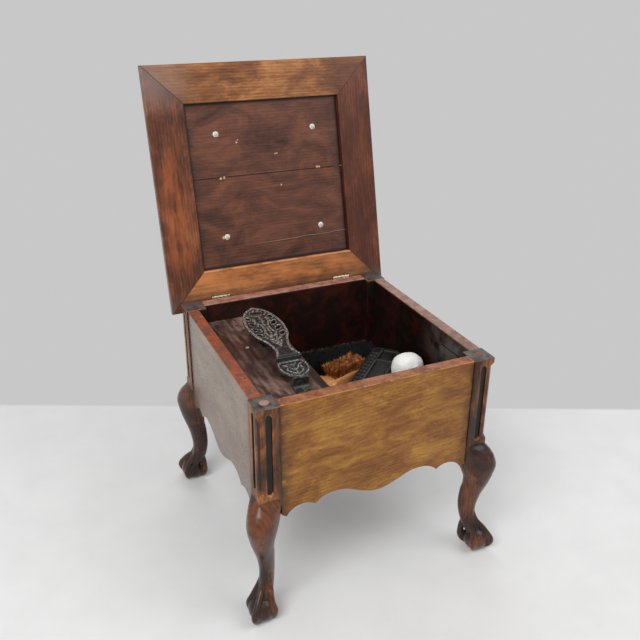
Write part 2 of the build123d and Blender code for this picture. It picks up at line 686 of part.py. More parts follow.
for name, x in HINGES.items():
    with BuildPart(PLAN) as fixed_leaf:
        with Locations((x, FACE, TONGUE_Z)):
            Box(HINGE_LONG, PIN_Y - FACE, LEAF_THICK, align=(Align.CENTER, Align.MIN, Align.MAX))
            Box(HINGE_LONG, LEAF_THICK, LEAF_WIDE, align=(Align.CENTER, Align.MIN, Align.MAX))
        with Locations((x, PIN_Y, PIN_Z)):
            Box(
                KNUCKLE_LONG + 2 * KNUCKLE_GAP, 2 * (KNUCKLE_R + KNUCKLE_ROOM),
                2 * (KNUCKLE_R + KNUCKLE_ROOM), mode=Mode.SUBTRACT,
            )
        for side in (-1, 1):
            knuckle(x + side * KNUCKLE_STEP, PIN_Y, PIN_Z, KNUCKLE_R, KNUCKLE_LONG)
        knuckle(x, PIN_Y, PIN_Z, PIN_R, HINGE_LONG, Mode.SUBTRACT)
        with Locations(*on_back(FACE + LEAF_THICK, [x])):
            CounterSinkHole(HINGE_SCREW_R, HINGE_SCREW_HEAD_R, LEAF_THICK, SCREW_HEAD_ANGLE)
    finish(fixed_leaf, f"hinge_leaf_fixed_{name}")

    with BuildPart(LID) as moving_leaf:
        with Locations((x, 0, -LID_LOW)):
            Box(HINGE_LONG, LEAF_WIDE, LEAF_THICK, align=(Align.CENTER, Align.MAX, Align.MAX))
        for side in (-1, 1):
            with Locations((x + side * KNUCKLE_STEP, 0, 0)):
                Box(
                    KNUCKLE_LONG + 2 * KNUCKLE_GAP, 2 * (KNUCKLE_R + KNUCKLE_ROOM), 4 * LEAF_THICK,
                    mode=Mode.SUBTRACT,
                )
        knuckle(x, 0, 0, KNUCKLE_R, KNUCKLE_LONG)
        knuckle(x, 0, 0, PIN_R + RUNNING_FIT, HINGE_LONG, Mode.SUBTRACT)
        with Locations(*[(x + end * HINGE_SCREW_IN, -HINGE_SCREW_OFF, -LID_LOW) for end in (-1, 1)]):
            CounterSinkHole(HINGE_SCREW_R, HINGE_SCREW_HEAD_R, LEAF_THICK, SCREW_HEAD_ANGLE)
    finish(moving_leaf, f"hinge_leaf_moving_{name}")

with BuildPart(PLAN) as hinge_pins:
    for x in HINGES.values():
        knuckle(x, PIN_Y, PIN_Z, PIN_R, HINGE_LONG)
finish(hinge_pins, "hinge_pins")

LID_SCREWS = [
    (x + end * HINGE_SCREW_IN, -HINGE_SCREW_OFF) for x in HINGES.values() for end in (-1, 1)
]
CASE_SCREWS = [(-place.origin.X, place.origin.Z) for place in on_back(0, HINGES.values())]
finish(
    make_screws(
        side_plane(BACK, 0), CASE_SCREWS, FACE + LEAF_THICK,
        HINGE_SCREW_R, HINGE_SCREW_HEAD_R, HINGE_SCREW_LONG,
    ),
    "hinge_screws_case",
)
finish(
    make_screws(
        LID, LID_SCREWS, -LID_LOW, HINGE_SCREW_R, HINGE_SCREW_HEAD_R, HINGE_SCREW_LONG,
    ),
    "hinge_screws_lid",
)

# ---------------------------------------------------------------- lid frame
LID_HALF = LID_WIDE / 2
LID_CORNERS = (             # outer and inner corner at each mitre, anticlockwise from back left
    ((-LID_HALF, -LID_OVERHANG), (-OPEN_X, OPEN_BACK)),
    ((LID_HALF, -LID_OVERHANG), (OPEN_X, OPEN_BACK)),
    ((LID_HALF, LID_FRONT), (OPEN_X, OPEN_FRONT)),
    ((-LID_HALF, LID_FRONT), (-OPEN_X, OPEN_FRONT)),
)
LID_MEMBERS = (             # name and width, in the same order
    ("lid_rail_back", REAR_RAIL),
    ("lid_stile_right", STILE_WIDE),
    ("lid_rail_front", FRONT_RAIL),
    ("lid_stile_left", STILE_WIDE),
)
PANEL_NAILS = [             # across, from the hinge pin
    (side * (OPEN_X + REBATE_WIDE / 2), place)
    for side in (-1, 1)
    for place in (
        OPEN_BACK + REBATE_WIDE,
        PANEL_JOINT - 2 * REBATE_WIDE,
        PANEL_JOINT + 2 * REBATE_WIDE,
        OPEN_FRONT - REBATE_WIDE,
    )
]


def on_underside(place):
    """A point of the lid's underside."""
    return LID.from_local_coords(Vector(*place, -LID_LOW))


def hinge_rooms():
    """Gains for the moving leaves, room for the knuckles, and their screw holes."""
    for x in HINGES.values():
        with Locations((x, 0, -LID_LOW)):
            Box(
                HINGE_LONG + 2 * FIT, LEAF_WIDE + FIT, 2 * LEAF_THICK,
                align=(Align.CENTER, Align.MAX, Align.CENTER), mode=Mode.SUBTRACT,
            )
        knuckle(
            x, 0, 0, KNUCKLE_R + KNUCKLE_ROOM, HINGE_LONG + 2 * KNUCKLE_ROOM, Mode.SUBTRACT
        )
    with Locations(*[(x, v, -LID_LOW) for x, v in LID_SCREWS]):
        Hole(HINGE_SCREW_R, depth=HINGE_SCREW_LONG)


def make_member(name, width, start, end):
    """A lid member: a rebated section run along one side, then mitred at both ends."""
    begin, stop = on_underside(start[0]), on_underside(end[0])
    run = (stop - begin).normalized()
    section = Plane(origin=begin, x_dir=LID.z_dir.cross(run), z_dir=run)
    with BuildPart(LID) as member:
        with BuildSketch(section) as profile:
            Rectangle(width, LID_THICK, align=(Align.MIN, Align.MAX))
            for corner, radius in (
                ((0, 0), ARRIS_LOW),
                ((0, -LID_THICK), ARRIS_HIGH),
                ((width, 0), ARRIS_IN),
            ):
                fillet(profile.vertices().sort_by_distance(corner)[0], radius)
            with Locations((width, -LID_THICK)):
                Rectangle(
                    REBATE_WIDE, REBATE_DEEP, align=(Align.MAX, Align.MIN), mode=Mode.SUBTRACT
                )
        extrude(amount=(stop - begin).length)
        for (outer, inner), keep in ((start, Keep.TOP), (end, Keep.BOTTOM)):
            across = on_underside(inner) - on_underside(outer)
            mitre = Plane(origin=on_underside(outer), z_dir=across.cross(LID.z_dir))
            split(bisect_by=mitre, keep=keep)
        if name == "lid_rail_back":
            hinge_rooms()
        if width == STILE_WIDE:
            side = 1 if on_underside(start[0]).X > 0 else -1
            bores = [(x, v, -PANEL_LOW) for x, v in PANEL_NAILS if x * side > 0]
            with Locations(*bores):
                Cylinder(
                    NAIL_R, NAIL_LONG - PANEL_THICK,
                    align=(Align.CENTER, Align.CENTER, Align.MIN), mode=Mode.SUBTRACT,
                )
    return member


for index, (name, width) in enumerate(LID_MEMBERS):
    start, end = LID_CORNERS[index], LID_CORNERS[(index + 1) % len(LID_CORNERS)]
    finish(make_member(name, width, start, end), name)

# ---------------------------------------------------------------- lid boards and seat
TUFTS = [(side * TUFT_X, v) for side in (-1, 1) for v in TUFT_V]
PANEL_EDGE = REBATE_WIDE - BOARD_GAP        # boards' reach into the rebates
PANELS = {
    "back": (OPEN_BACK - PANEL_EDGE, PANEL_JOINT - BOARD_GAP / 2),
    "front": (PANEL_JOINT + BOARD_GAP / 2, OPEN_FRONT + PANEL_EDGE),
}
PANEL_TOP = SEAT.offset(PANEL_THICK - REBATE_DEEP)

for name, (low, high) in PANELS.items():
    with BuildPart(PANEL_TOP) as lid_board:
        with BuildSketch(PANEL_TOP):
            with Locations((0, -(low + high) / 2)):
                Rectangle(2 * (OPEN_X + PANEL_EDGE), high - low)
        extrude(amount=-PANEL_THICK)
        nail_seats([(x, -v) for x, v in PANEL_NAILS if low < v < high], 0)
        with Locations(*[(x, -v, 0) for x, v in TUFTS if low < v < high]):
            Hole(TIE_BORE_R)
    finish(lid_board, f"lid_board_{name}")

finish(make_nails(PANEL_TOP, [(x, -v) for x, v in PANEL_NAILS], 0), "lid_nails")

with BuildPart(SEAT) as seat_pad:
    with BuildSketch(SEAT):
        with Locations((0, -PAD_V)):
            RectangleRounded(PAD_SIDE, PAD_SIDE, PAD_CORNER)
    extrude(amount=PAD_TALL)
    rims = seat_pad.faces().filter_by(lambda face: abs(face.normal_at().dot(SEAT.z_dir)) > 0.99)
    rims = rims.sort_by(lambda face: (face.center() - SEAT.origin).dot(SEAT.z_dir))
    fillet(rims[0].edges(), PAD_FOOT)
    rims = seat_pad.faces().filter_by(lambda face: face.normal_at().dot(SEAT.z_dir) > 0.99)
    fillet(rims[0].edges(), PAD_ARRIS)
    with Locations(*[(x, -v, PAD_TALL) for x, v in TUFTS]):
        CounterBoreHole(TWINE_R, TUFT_R, TUFT_DEEP)
finish(seat_pad, "seat_pad")

with BuildPart(SEAT) as seat_buttons:
    with BuildSketch(SEAT.offset(PAD_TALL - TUFT_DEEP)):
        with Locations(*[(x, -v) for x, v in TUFTS]):
            Circle(BUTTON_R)
    extrude(amount=BUTTON_TALL)
    crowns = seat_buttons.faces().filter_by(lambda face: face.normal_at().dot(SEAT.z_dir) > 0.99)
    fillet(crowns.edges(), BUTTON_TALL / 2)
finish(seat_buttons, "seat_buttons")

PANEL_UNDER = SEAT.offset(-REBATE_DEEP)     # underside of the lid boards
with BuildPart(PANEL_UNDER) as tie_washers:
    with BuildSketch(PANEL_UNDER):
        with Locations(*[(x, -v) for x, v in TUFTS]):
            Circle(TIE_WASHER_R)
            Circle(TWINE_R, mode=Mode.SUBTRACT)
    extrude(amount=-TIE_WASHER_T)
finish(tie_washers, "tie_washers")

with BuildPart(PANEL_UNDER) as tie_twines:
    with BuildSketch(PANEL_UNDER.offset(-TIE_WASHER_T - TIE_KNOT_R)):
        with Locations(*[(x, -v) for x, v in TUFTS]):
            Circle(TWINE_R)
    extrude(amount=TIE_KNOT_R + TIE_WASHER_T + REBATE_DEEP + PAD_TALL - TUFT_DEEP)
    with Locations(*[(x, -v, -TIE_WASHER_T - TIE_KNOT_R) for x, v in TUFTS]):
        Sphere(TIE_KNOT_R)
    with Locations(
        *[Location((x, -v, -TIE_WASHER_T - TIE_KNOT_R), (-90, 0, 0)) for x, v in TUFTS]
    ):
        Cylinder(TWINE_R / 2, TIE_TAIL, align=(Align.CENTER, Align.CENTER, Align.MIN))
finish(tie_twines, "tie_twines")


# ---------------------------------------------------------------- brushes and buffer
def tool_plane(from_right, y, turn):
    """Where a loose tool stands on the bottom of the box, X along it."""
    return Plane(
        origin=PLAN.origin + Vector(INSIDE - from_right, y, BOTTOM_TOP + STAND_OFF),
        x_dir=Vector(1, 0, 0).rotate(Axis.Z, turn),
        z_dir=(0, 0, 1),
    )


def tool_height(top):
    """Height of a level above a tool's underside."""
    return top - BOTTOM_TOP - STAND_OFF


def flat_faces(piece):
    """Level faces of a piece, lowest first."""
    return piece.faces().filter_by(Axis.Z).sort_by(Axis.Z)


LONG = tool_plane(LONG_FROM_RIGHT, LONG_Y, 0)
with BuildPart(LONG) as long_brush_back:
    with BuildSketch(LONG):
        RectangleRounded(LONG_LONG, LONG_WIDE, LONG_CORNER)
    extrude(amount=LONG_BACK)
    fillet(flat_faces(long_brush_back)[0].edges(), BACK_ARRIS)
finish(long_brush_back, "long_brush_back")
with BuildPart(LONG) as long_brush_bristles:
    with BuildSketch(LONG.offset(LONG_BACK)):
        RectangleRounded(
            LONG_LONG - 2 * BRISTLE_IN, LONG_WIDE - 2 * BRISTLE_IN, LONG_CORNER - BRISTLE_IN
        )
    extrude(amount=tool_height(LONG_TOP) - LONG_BACK, taper=BRISTLE_FLARE)
finish(long_brush_bristles, "long_brush_bristles")

BROWN = tool_plane(BROWN_FROM_RIGHT, BROWN_Y, BROWN_TURN)
with BuildPart(BROWN) as brown_brush_back:
    with BuildSketch(BROWN):
        with Locations((BROWN_NECK, 0)):
            Rectangle(BROWN_LONG - BROWN_NECK, BROWN_WIDE, align=(Align.MIN, Align.CENTER))
        for along, across, radius in BROWN_LOBES:
            with Locations((along, across)):
                Circle(radius)
    extrude(amount=BROWN_BACK)
    fillet(flat_faces(brown_brush_back)[-1].edges(), BACK_ARRIS)
finish(brown_brush_back, "brown_brush_back")
with BuildPart(BROWN) as brown_brush_bristles:
    with BuildSketch(BROWN.offset(BROWN_BACK)):
        with Locations((BROWN_LOBES[0][0] + BROWN_LOBES[0][2], 0)):
            Rectangle(
                BROWN_LONG - BROWN_LOBES[0][0] - BROWN_LOBES[0][2] - BRISTLE_IN,
                BROWN_WIDE - 2 * BRISTLE_IN,
                align=(Align.MIN, Align.CENTER),
            )
    extrude(amount=tool_height(BROWN_TOP) - BROWN_BACK, taper=BRISTLE_FLARE)
finish(brown_brush_bristles, "brown_brush_bristles")

BLACK = tool_plane(BLACK_FROM_RIGHT, BLACK_Y, BLACK_TURN)
black_seat = tool_height(BLACK_TOP) - BLACK_BACK
with BuildPart(BLACK) as black_brush_back:
    with BuildSketch(BLACK.offset(black_seat)):
        RectangleRounded(BLACK_LONG, BLACK_WIDE, BLACK_CORNER)
    extrude(amount=BLACK_BACK)
    fillet(flat_faces(black_brush_back)[-1].edges(), BACK_ARRIS)
    for side in (-1, 1):
        with Locations((0, side * BLACK_WIDE / 2, black_seat + BLACK_BACK / 2)):
            Box(BLACK_LONG - 2 * BLACK_CORNER, 2 * GRIP_GROOVE, GRIP_GROOVE, mode=Mode.SUBTRACT)
finish(black_brush_back, "black_brush_back")
with BuildPart(BLACK) as black_brush_bristles:
    with BuildSketch(BLACK.offset(black_seat)):
        RectangleRounded(
            BLACK_LONG - 2 * BRISTLE_IN, BLACK_WIDE - 2 * BRISTLE_IN, BLACK_CORNER - BRISTLE_IN
        )
    extrude(amount=-black_seat, taper=BRISTLE_FLARE)
finish(black_brush_bristles, "black_brush_bristles")

BUFFER = tool_plane(BUFFER_FROM_RIGHT, BUFFER_Y, 0)
with BuildPart(BUFFER) as buffer_wool:
    with BuildSketch(BUFFER):
        RectangleRounded(WOOL_WIDE, WOOL_THICK, WOOL_CORNER)
    extrude(amount=tool_height(WOOL_TOP))
    fillet(flat_faces(buffer_wool)[-1].edges(), WOOL_CROWN)
finish(buffer_wool, "buffer_wool")
with BuildPart(BUFFER) as buffer_block:
    with Locations((0, -WOOL_THICK / 2, 0)):
        Box(
            WOOL_WIDE - 2 * BRISTLE_IN, BUFFER_BLOCK, tool_height(BUFFER_BLOCK_TOP),
            align=(Align.CENTER, Align.MAX, Align.MIN),
        )
    fillet(flat_faces(buffer_block)[-1].edges(), BACK_ARRIS)
finish(buffer_block, "buffer_block")
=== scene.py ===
import json
import logging
import math
import random
from collections.abc import Callable, Sequence
from dataclasses import dataclass
from enum import Enum

import bmesh
import bpy
from mathutils import Euler, Matrix, Vector, noise
from mathutils.kdtree import KDTree


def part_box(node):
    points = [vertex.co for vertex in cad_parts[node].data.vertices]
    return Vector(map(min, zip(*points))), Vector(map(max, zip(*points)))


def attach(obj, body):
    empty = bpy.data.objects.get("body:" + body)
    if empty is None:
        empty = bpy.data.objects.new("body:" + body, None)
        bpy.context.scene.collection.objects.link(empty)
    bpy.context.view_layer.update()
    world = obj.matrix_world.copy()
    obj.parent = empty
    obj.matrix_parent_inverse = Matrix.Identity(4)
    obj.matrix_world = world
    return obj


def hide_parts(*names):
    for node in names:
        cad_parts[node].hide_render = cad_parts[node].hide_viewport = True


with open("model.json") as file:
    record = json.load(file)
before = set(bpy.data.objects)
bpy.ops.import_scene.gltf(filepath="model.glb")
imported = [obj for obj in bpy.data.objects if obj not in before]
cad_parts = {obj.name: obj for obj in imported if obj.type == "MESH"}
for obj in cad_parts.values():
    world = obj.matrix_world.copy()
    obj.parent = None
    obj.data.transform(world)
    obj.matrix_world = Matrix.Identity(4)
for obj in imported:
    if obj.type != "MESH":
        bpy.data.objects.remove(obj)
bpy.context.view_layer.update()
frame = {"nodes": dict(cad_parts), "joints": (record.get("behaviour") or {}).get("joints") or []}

# A square shoe shine box on carved cabriole legs, with its finishes, carving, tufted seat,
# cast foot rest and brushes. Shapes are built in millimetres and placed in metres.

MM = 0.001
LID_TOP = 20.25  # millimetres from the hinge pin to the lid's top face, square to it
LOG = logging.getLogger("shoe_shine_box")

Colour = tuple[int, int, int]
Point = tuple[float, float, float]
Socket = bpy.types.NodeSocket
Thing = bpy.types.Object
Finish = bpy.types.Material
Input = float | int | Sequence[float] | Socket


def tint(colour: Colour) -> tuple[float, float, float, float]:
    """A colour of 0 to 255 a channel as the light a node works in.

    Args:
        colour: Red, green and blue as a paint chart gives them.

    Returns:
        Linear red, green and blue, with full cover.
    """
    parts = [channel / 255 for channel in colour]
    red, green, blue = (c / 12.92 if c <= 0.04045 else ((c + 0.055) / 1.055) ** 2.4 for c in parts)
    return (red, green, blue, 1.0)


def ease(value: float, low: float, high: float) -> float:
    """A smooth step from 0 at low to 1 at high.

    Args:
        value: Where to read the step.
        low: Where it starts.
        high: Where it ends.

    Returns:
        The step's height, from 0 to 1.
    """
    share = min(max((value - low) / (high - low), 0.0), 1.0)
    return share * share * (3 - 2 * share)


def curve_through(points: Sequence[Sequence[float]], share: float) -> list[float]:
    """A point of the smooth curve that runs through rows of numbers.

    Args:
        points: The rows, each with as many numbers.
        share: Place along the rows, from 0 to 1.

    Returns:
        The row of numbers at that place.
    """
    last = len(points) - 1
    place = min(max(share, 0.0), 1.0) * last
    index = min(int(place), last - 1)
    t = place - index
    rows = [points[min(max(index + step, 0), last)] for step in (-1, 0, 1, 2)]
    return [
        0.5 * (2 * b + (c - a) * t + (2 * a - 5 * b + 4 * c - d) * t * t + (3 * b - a - 3 * c + d) * t**3)
        for a, b, c, d in zip(*rows)
    ]


# -------- places
@dataclass(frozen=True)
class Place:
    """A part's own axes in the row frame, from which its shapes and its grain are laid out."""

    origin: Vector
    turn: Matrix

    def matrix(self) -> Matrix:
        """The move from the part's own millimetres to the row frame's metres."""
        return Matrix.Translation(self.origin) @ self.turn.to_4x4() @ Matrix.Scale(MM, 4)

    def at(self, x: float, y: float, z: float) -> Vector:
        """A point of the part, in the row frame."""
        return self.matrix() @ Vector((x, y, z))

    def moved(self, x: float, y: float, z: float, degrees: float = 0.0) -> "Place":
        """A place beside this one.

        Args:
            x: Millimetres along this place's X.
            y: Millimetres along its Y.
            z: Millimetres along its Z.
            degrees: Turn about its Z.

        Returns:
            The new place.
        """
        turn = self.turn @ Matrix.Rotation(math.radians(degrees), 3, "Z")
        return Place(self.at(x, y, z), turn)


def case_place() -> Place:
    """The middle of the case on the floor, square with the room."""
    low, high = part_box("left_board")
    return Place(Vector((0, (low.y + high.y) / 2, 0)), Matrix.Identity(3))


def lid_places() -> tuple[Place, Place]:
    """The open lid's two sides.

    Returns:
        The underside, from the hinge pin with Y to the lid's front edge and Z out of it, and
        the seat's side, with Y to the hinge and Z out of the lid's top.
    """
    hinge = next(joint for joint in frame["joints"] if joint["child"] == "lid")
    tilt = math.radians(hinge["range_deg"][1])
    across = Vector((1, 0, 0))
    out = Vector((0, -math.sin(tilt), -math.cos(tilt)))
    under = Place(Vector(hinge["pos_m"]), Matrix((across, out.cross(across), out)).transposed())
    top = Matrix((across, across.cross(out), -out)).transposed()
    return under, Place(under.at(0, 0, -LID_TOP), top)


CASE = case_place()
UNDER, SEAT = lid_places()


# -------- finishes
class Grain(Enum):
    """Which way of a part's own axes the wood's fibres run: the turn that lays X along them."""

    ALONG_X = (0.0, 0.0, 0.0)
    ALONG_Y = (0.0, 0.0, math.pi / 2)
    ALONG_Z = (0.0, -math.pi / 2, 0.0)


class Graph:
    """One material's node tree, with short calls for the patterns that the finishes share."""

    def __init__(self, name: str, place: Place | None = None) -> None:
        """Starts a material on a part's own coordinates, in metres.

        Args:
            name: The finish's name.
            place: The part's axes, or none for the row frame's.
        """
        self.material = bpy.data.materials.new(name)
        self.material.use_nodes = True
        self.tree = self.material.node_tree
        self.tree.nodes.clear()
        self.shader = self.add("ShaderNodeBsdfPrincipled")
        output = self.add("ShaderNodeOutputMaterial")
        self.tree.links.new(self.shader.outputs[0], output.inputs[0])
        self.coords = self.add("ShaderNodeTexCoord").outputs["Object"]
        if place is not None:
            self.coords = self.turned(self.coords, place.origin, place.turn.to_euler(), 1.0, "TEXTURE")

    def add(
        self, kind: str, inputs: dict[str | int, Input] | None = None, **settings: object
    ) -> bpy.types.Node:
        """Adds a node.

        Args:
            kind: Blender's name for the node.
            inputs: Values or sockets for its inputs, by name or number.
            **settings: The node's own settings.

        Returns:
            The node.
        """
        node = self.tree.nodes.new(kind)
        for key, value in settings.items():
            setattr(node, key, value)
        for key, value in (inputs or {}).items():
            self.feed(node.inputs[key], value)
        return node

    def feed(self, target: Socket, value: Input) -> None:
        """Links a socket to an input, or sets the input's own value."""
        if isinstance(value, bpy.types.NodeSocket):
            self.tree.links.new(value, target)
        else:
            target.default_value = value

    def turned(
        self, vector: Socket, origin: Sequence[float], turn: Sequence[float],
        scale: float | Sequence[float], kind: str = "POINT",
    ) -> Socket:
        """Moves, turns and scales a pattern.

        Args:
            vector: The coordinates.
            origin: Shift in metres.
            turn: Turn about X, Y and Z.
            scale: One scale, or one an axis.
            kind: POINT, or TEXTURE for the reverse move.

        Returns:
            The new coordinates.
        """
        scales = (scale,) * 3 if isinstance(scale, float) else tuple(scale)
        inputs = {"Vector": vector, "Location": tuple(origin), "Rotation": tuple(turn), "Scale": scales}
        return self.add("ShaderNodeMapping", inputs, vector_type=kind).outputs[0]

    def along(self, grain: Grain, scale: Sequence[float], slope: float = 0.0) -> Socket:
        """Coordinates stretched along the fibres.

        Args:
            grain: Which way they run.
            scale: Scale along, across and through them.
            slope: Degrees that they climb across the face.

        Returns:
            The coordinates.
        """
        turn = Euler(grain.value).to_matrix().inverted()
        lean = Matrix.Rotation(math.radians(slope), 3, "Y" if grain is Grain.ALONG_X else "X")
        laid = self.turned(self.coords, (0, 0, 0), (turn @ lean).to_euler(), 1.0)
        return self.turned(laid, (0, 0, 0), (0, 0, 0), scale)

    def cloud(
        self, vector: Socket, scale: float, detail: float = 4.0, rough: float = 0.55, bend: float = 0.0
    ) -> Socket:
        """Soft random blotches.

        Args:
            vector: The coordinates.
            scale: Blotches a unit.
            detail: Octaves.
            rough: Weight of the finer octaves.
            bend: Distortion.

        Returns:
            Heights about a half.
        """
        inputs = {"Vector": vector, "Scale": scale, "Detail": detail, "Roughness": rough, "Distortion": bend}
        return self.add("ShaderNodeTexNoise", inputs).outputs["Fac"]

    def cells(self, vector: Socket, scale: float, feature: str = "F1") -> Socket:
        """Distance to scattered points, or to the walls between them."""
        node = self.add("ShaderNodeTexVoronoi", {"Vector": vector, "Scale": scale}, feature=feature)
        return node.outputs["Distance"]

    def rings(self, vector: Socket, scale: float, bend: float, detail_scale: float) -> Socket:
        """Growth rings about X, bent by slow noise."""
        inputs = {
            "Vector": vector, "Scale": scale, "Distortion": bend, "Detail": 3.0, "Detail Scale": detail_scale,
        }
        settings = {"wave_type": "RINGS", "rings_direction": "X", "wave_profile": "SIN"}
        return self.add("ShaderNodeTexWave", inputs, **settings).outputs["Fac"]

    def sums(self, operation: str, first: Input, second: Input = 0.0) -> Socket:
        """One step of arithmetic."""
        return self.add("ShaderNodeMath", {0: first, 1: second}, operation=operation).outputs[0]

    def patchy(
        self, scale: float, low: float, high: float, detail: float = 4.0, rough: float = 0.55
    ) -> Socket:
        """1 where random blotches rise above high, and 0 where they are below low."""
        return self.step(self.cloud(self.coords, scale, detail, rough), low, high)

    def step(self, value: Socket, low: float, high: float) -> Socket:
        """A smooth step from 0 at low to 1 at high; with low above high it falls."""
        flip = low > high
        inputs = {
            "Value": value, "From Min": min(low, high), "From Max": max(low, high),
            "To Min": 1.0 if flip else 0.0, "To Max": 0.0 if flip else 1.0,
        }
        return self.add("ShaderNodeMapRange", inputs, interpolation_type="SMOOTHSTEP").outputs[0]

    def size(self, value: Socket) -> Socket:
        """A value without its sign."""
        return self.sums("ABSOLUTE", value)

    def line(self, value: Socket, at: float, half: float) -> Socket:
        """1 on a thin line where the value passes a number, and 0 away from it."""
        return self.step(self.size(self.sums("SUBTRACT", value, at)), half, half * 0.35)

    def most(self, *values: Socket) -> Socket:
        """The largest of several values."""
        top = values[0]
        for value in values[1:]:
            top = self.sums("MAXIMUM", top, value)
        return top

    def times(self, first: Input, *others: Input) -> Socket:
        """The product of several values."""
        for value in others:
            first = self.sums("MULTIPLY", first, value)
        return first

    def spots(self, places: Sequence[Sequence[float]], radius: float) -> Socket:
        """1 on small ragged chips round some places, each given in metres with its size."""
        rough = self.cloud(self.coords, 500.0, 3.0)
        ragged = self.times(self.sums("SUBTRACT", rough, 0.5), radius * 1.8)
        chips = []
        for x, y, z, share in places:
            gap = self.add("ShaderNodeVectorMath", {0: self.coords, 1: (x, y, z)}, operation="DISTANCE")
            near = self.sums("ADD", gap.outputs["Value"], ragged)
            chips.append(self.step(near, radius * share, radius * share * 0.7))
        return self.most(*chips)

    def blend(self, share: Input, first: Input, second: Input) -> Socket:
        """Mixes two colours.

        Args:
            share: How much of the second.
            first: A colour or socket.
            second: A colour or socket.

        Returns:
            The mixed colour.
        """
        node = self.add("ShaderNodeMix", data_type="RGBA", clamp_factor=True)
        self.feed(node.inputs[0], share)
        self.feed(node.inputs[6], first)
        self.feed(node.inputs[7], second)
        return node.outputs[2]

    def over(self, colour: Input, where: Input, tone: Colour, strength: float = 1.0) -> Socket:
        """Lays a plain colour over another.

        Args:
            colour: What lies below.
            where: 1 where it is covered, and 0 where it stays.
            tone: The colour on top.
            strength: How much of it covers at most.

        Returns:
            The mixed colour.
        """
        share = where if strength == 1.0 else self.times(where, strength)
        return self.blend(share, colour, tint(tone))

    def shades(self, value: Socket, stops: Sequence[tuple[float, Colour]]) -> Socket:
        """Colours along a value, from a few stops."""
        node = self.add("ShaderNodeValToRGB", {0: value})
        for index, (place, colour) in enumerate(stops):
            stop = node.color_ramp.elements[index] if index < 2 else node.color_ramp.elements.new(place)
            stop.position = place
            stop.color = tint(colour)
        return node.outputs[0]

    def heights(self) -> tuple[Socket, Socket, Socket]:
        """The part's own X, Y and Z, in metres."""
        node = self.add("ShaderNodeSeparateXYZ", {0: self.coords})
        return node.outputs[0], node.outputs[1], node.outputs[2]

    def hollows(self, reach: float) -> Socket:
        """1 in nooks whose walls stand within reach, in metres, and 0 in the open."""
        node = self.add("ShaderNodeAmbientOcclusion", {"Distance": reach}, samples=6, only_local=True)
        return self.sums("SUBTRACT", 1.0, node.outputs["AO"])

    def crests(self, low: float, high: float) -> Socket:
        """1 on a dense mesh's ridges and 0 in its dips."""
        return self.step(self.add("ShaderNodeNewGeometry").outputs["Pointiness"], low, high)

    def bump(self, height: Socket, strength: float, depth: float, under: Socket | None = None) -> Socket:
        """Relief from a height.

        Args:
            height: The height.
            strength: Share of it that shows.
            depth: Metres from its low to its high.
            under: Relief that it lies on.

        Returns:
            The bent normal.
        """
        inputs: dict[str | int, Input] = {"Height": height, "Strength": strength, "Distance": depth}
        if under is not None:
            inputs["Normal"] = under
        return self.add("ShaderNodeBump", inputs).outputs[0]

    def done(
        self, colour: Input, rough: Input, normal: Socket | None = None, **constants: Input
    ) -> Finish:
        """Feeds the shader.

        Args:
            colour: Base colour.
            rough: Roughness.
            normal: Relief, if there is any.
            **constants: Other inputs, with underscores for the spaces in their names.

        Returns:
            The finished material.
        """
        self.feed(self.shader.inputs["Base Color"], colour)
        self.feed(self.shader.inputs["Roughness"], rough)
        if normal is not None:
            self.feed(self.shader.inputs["Normal"], normal)
        for key, value in constants.items():
            self.feed(self.shader.inputs[key.replace("_", " ")], value)
        return self.material


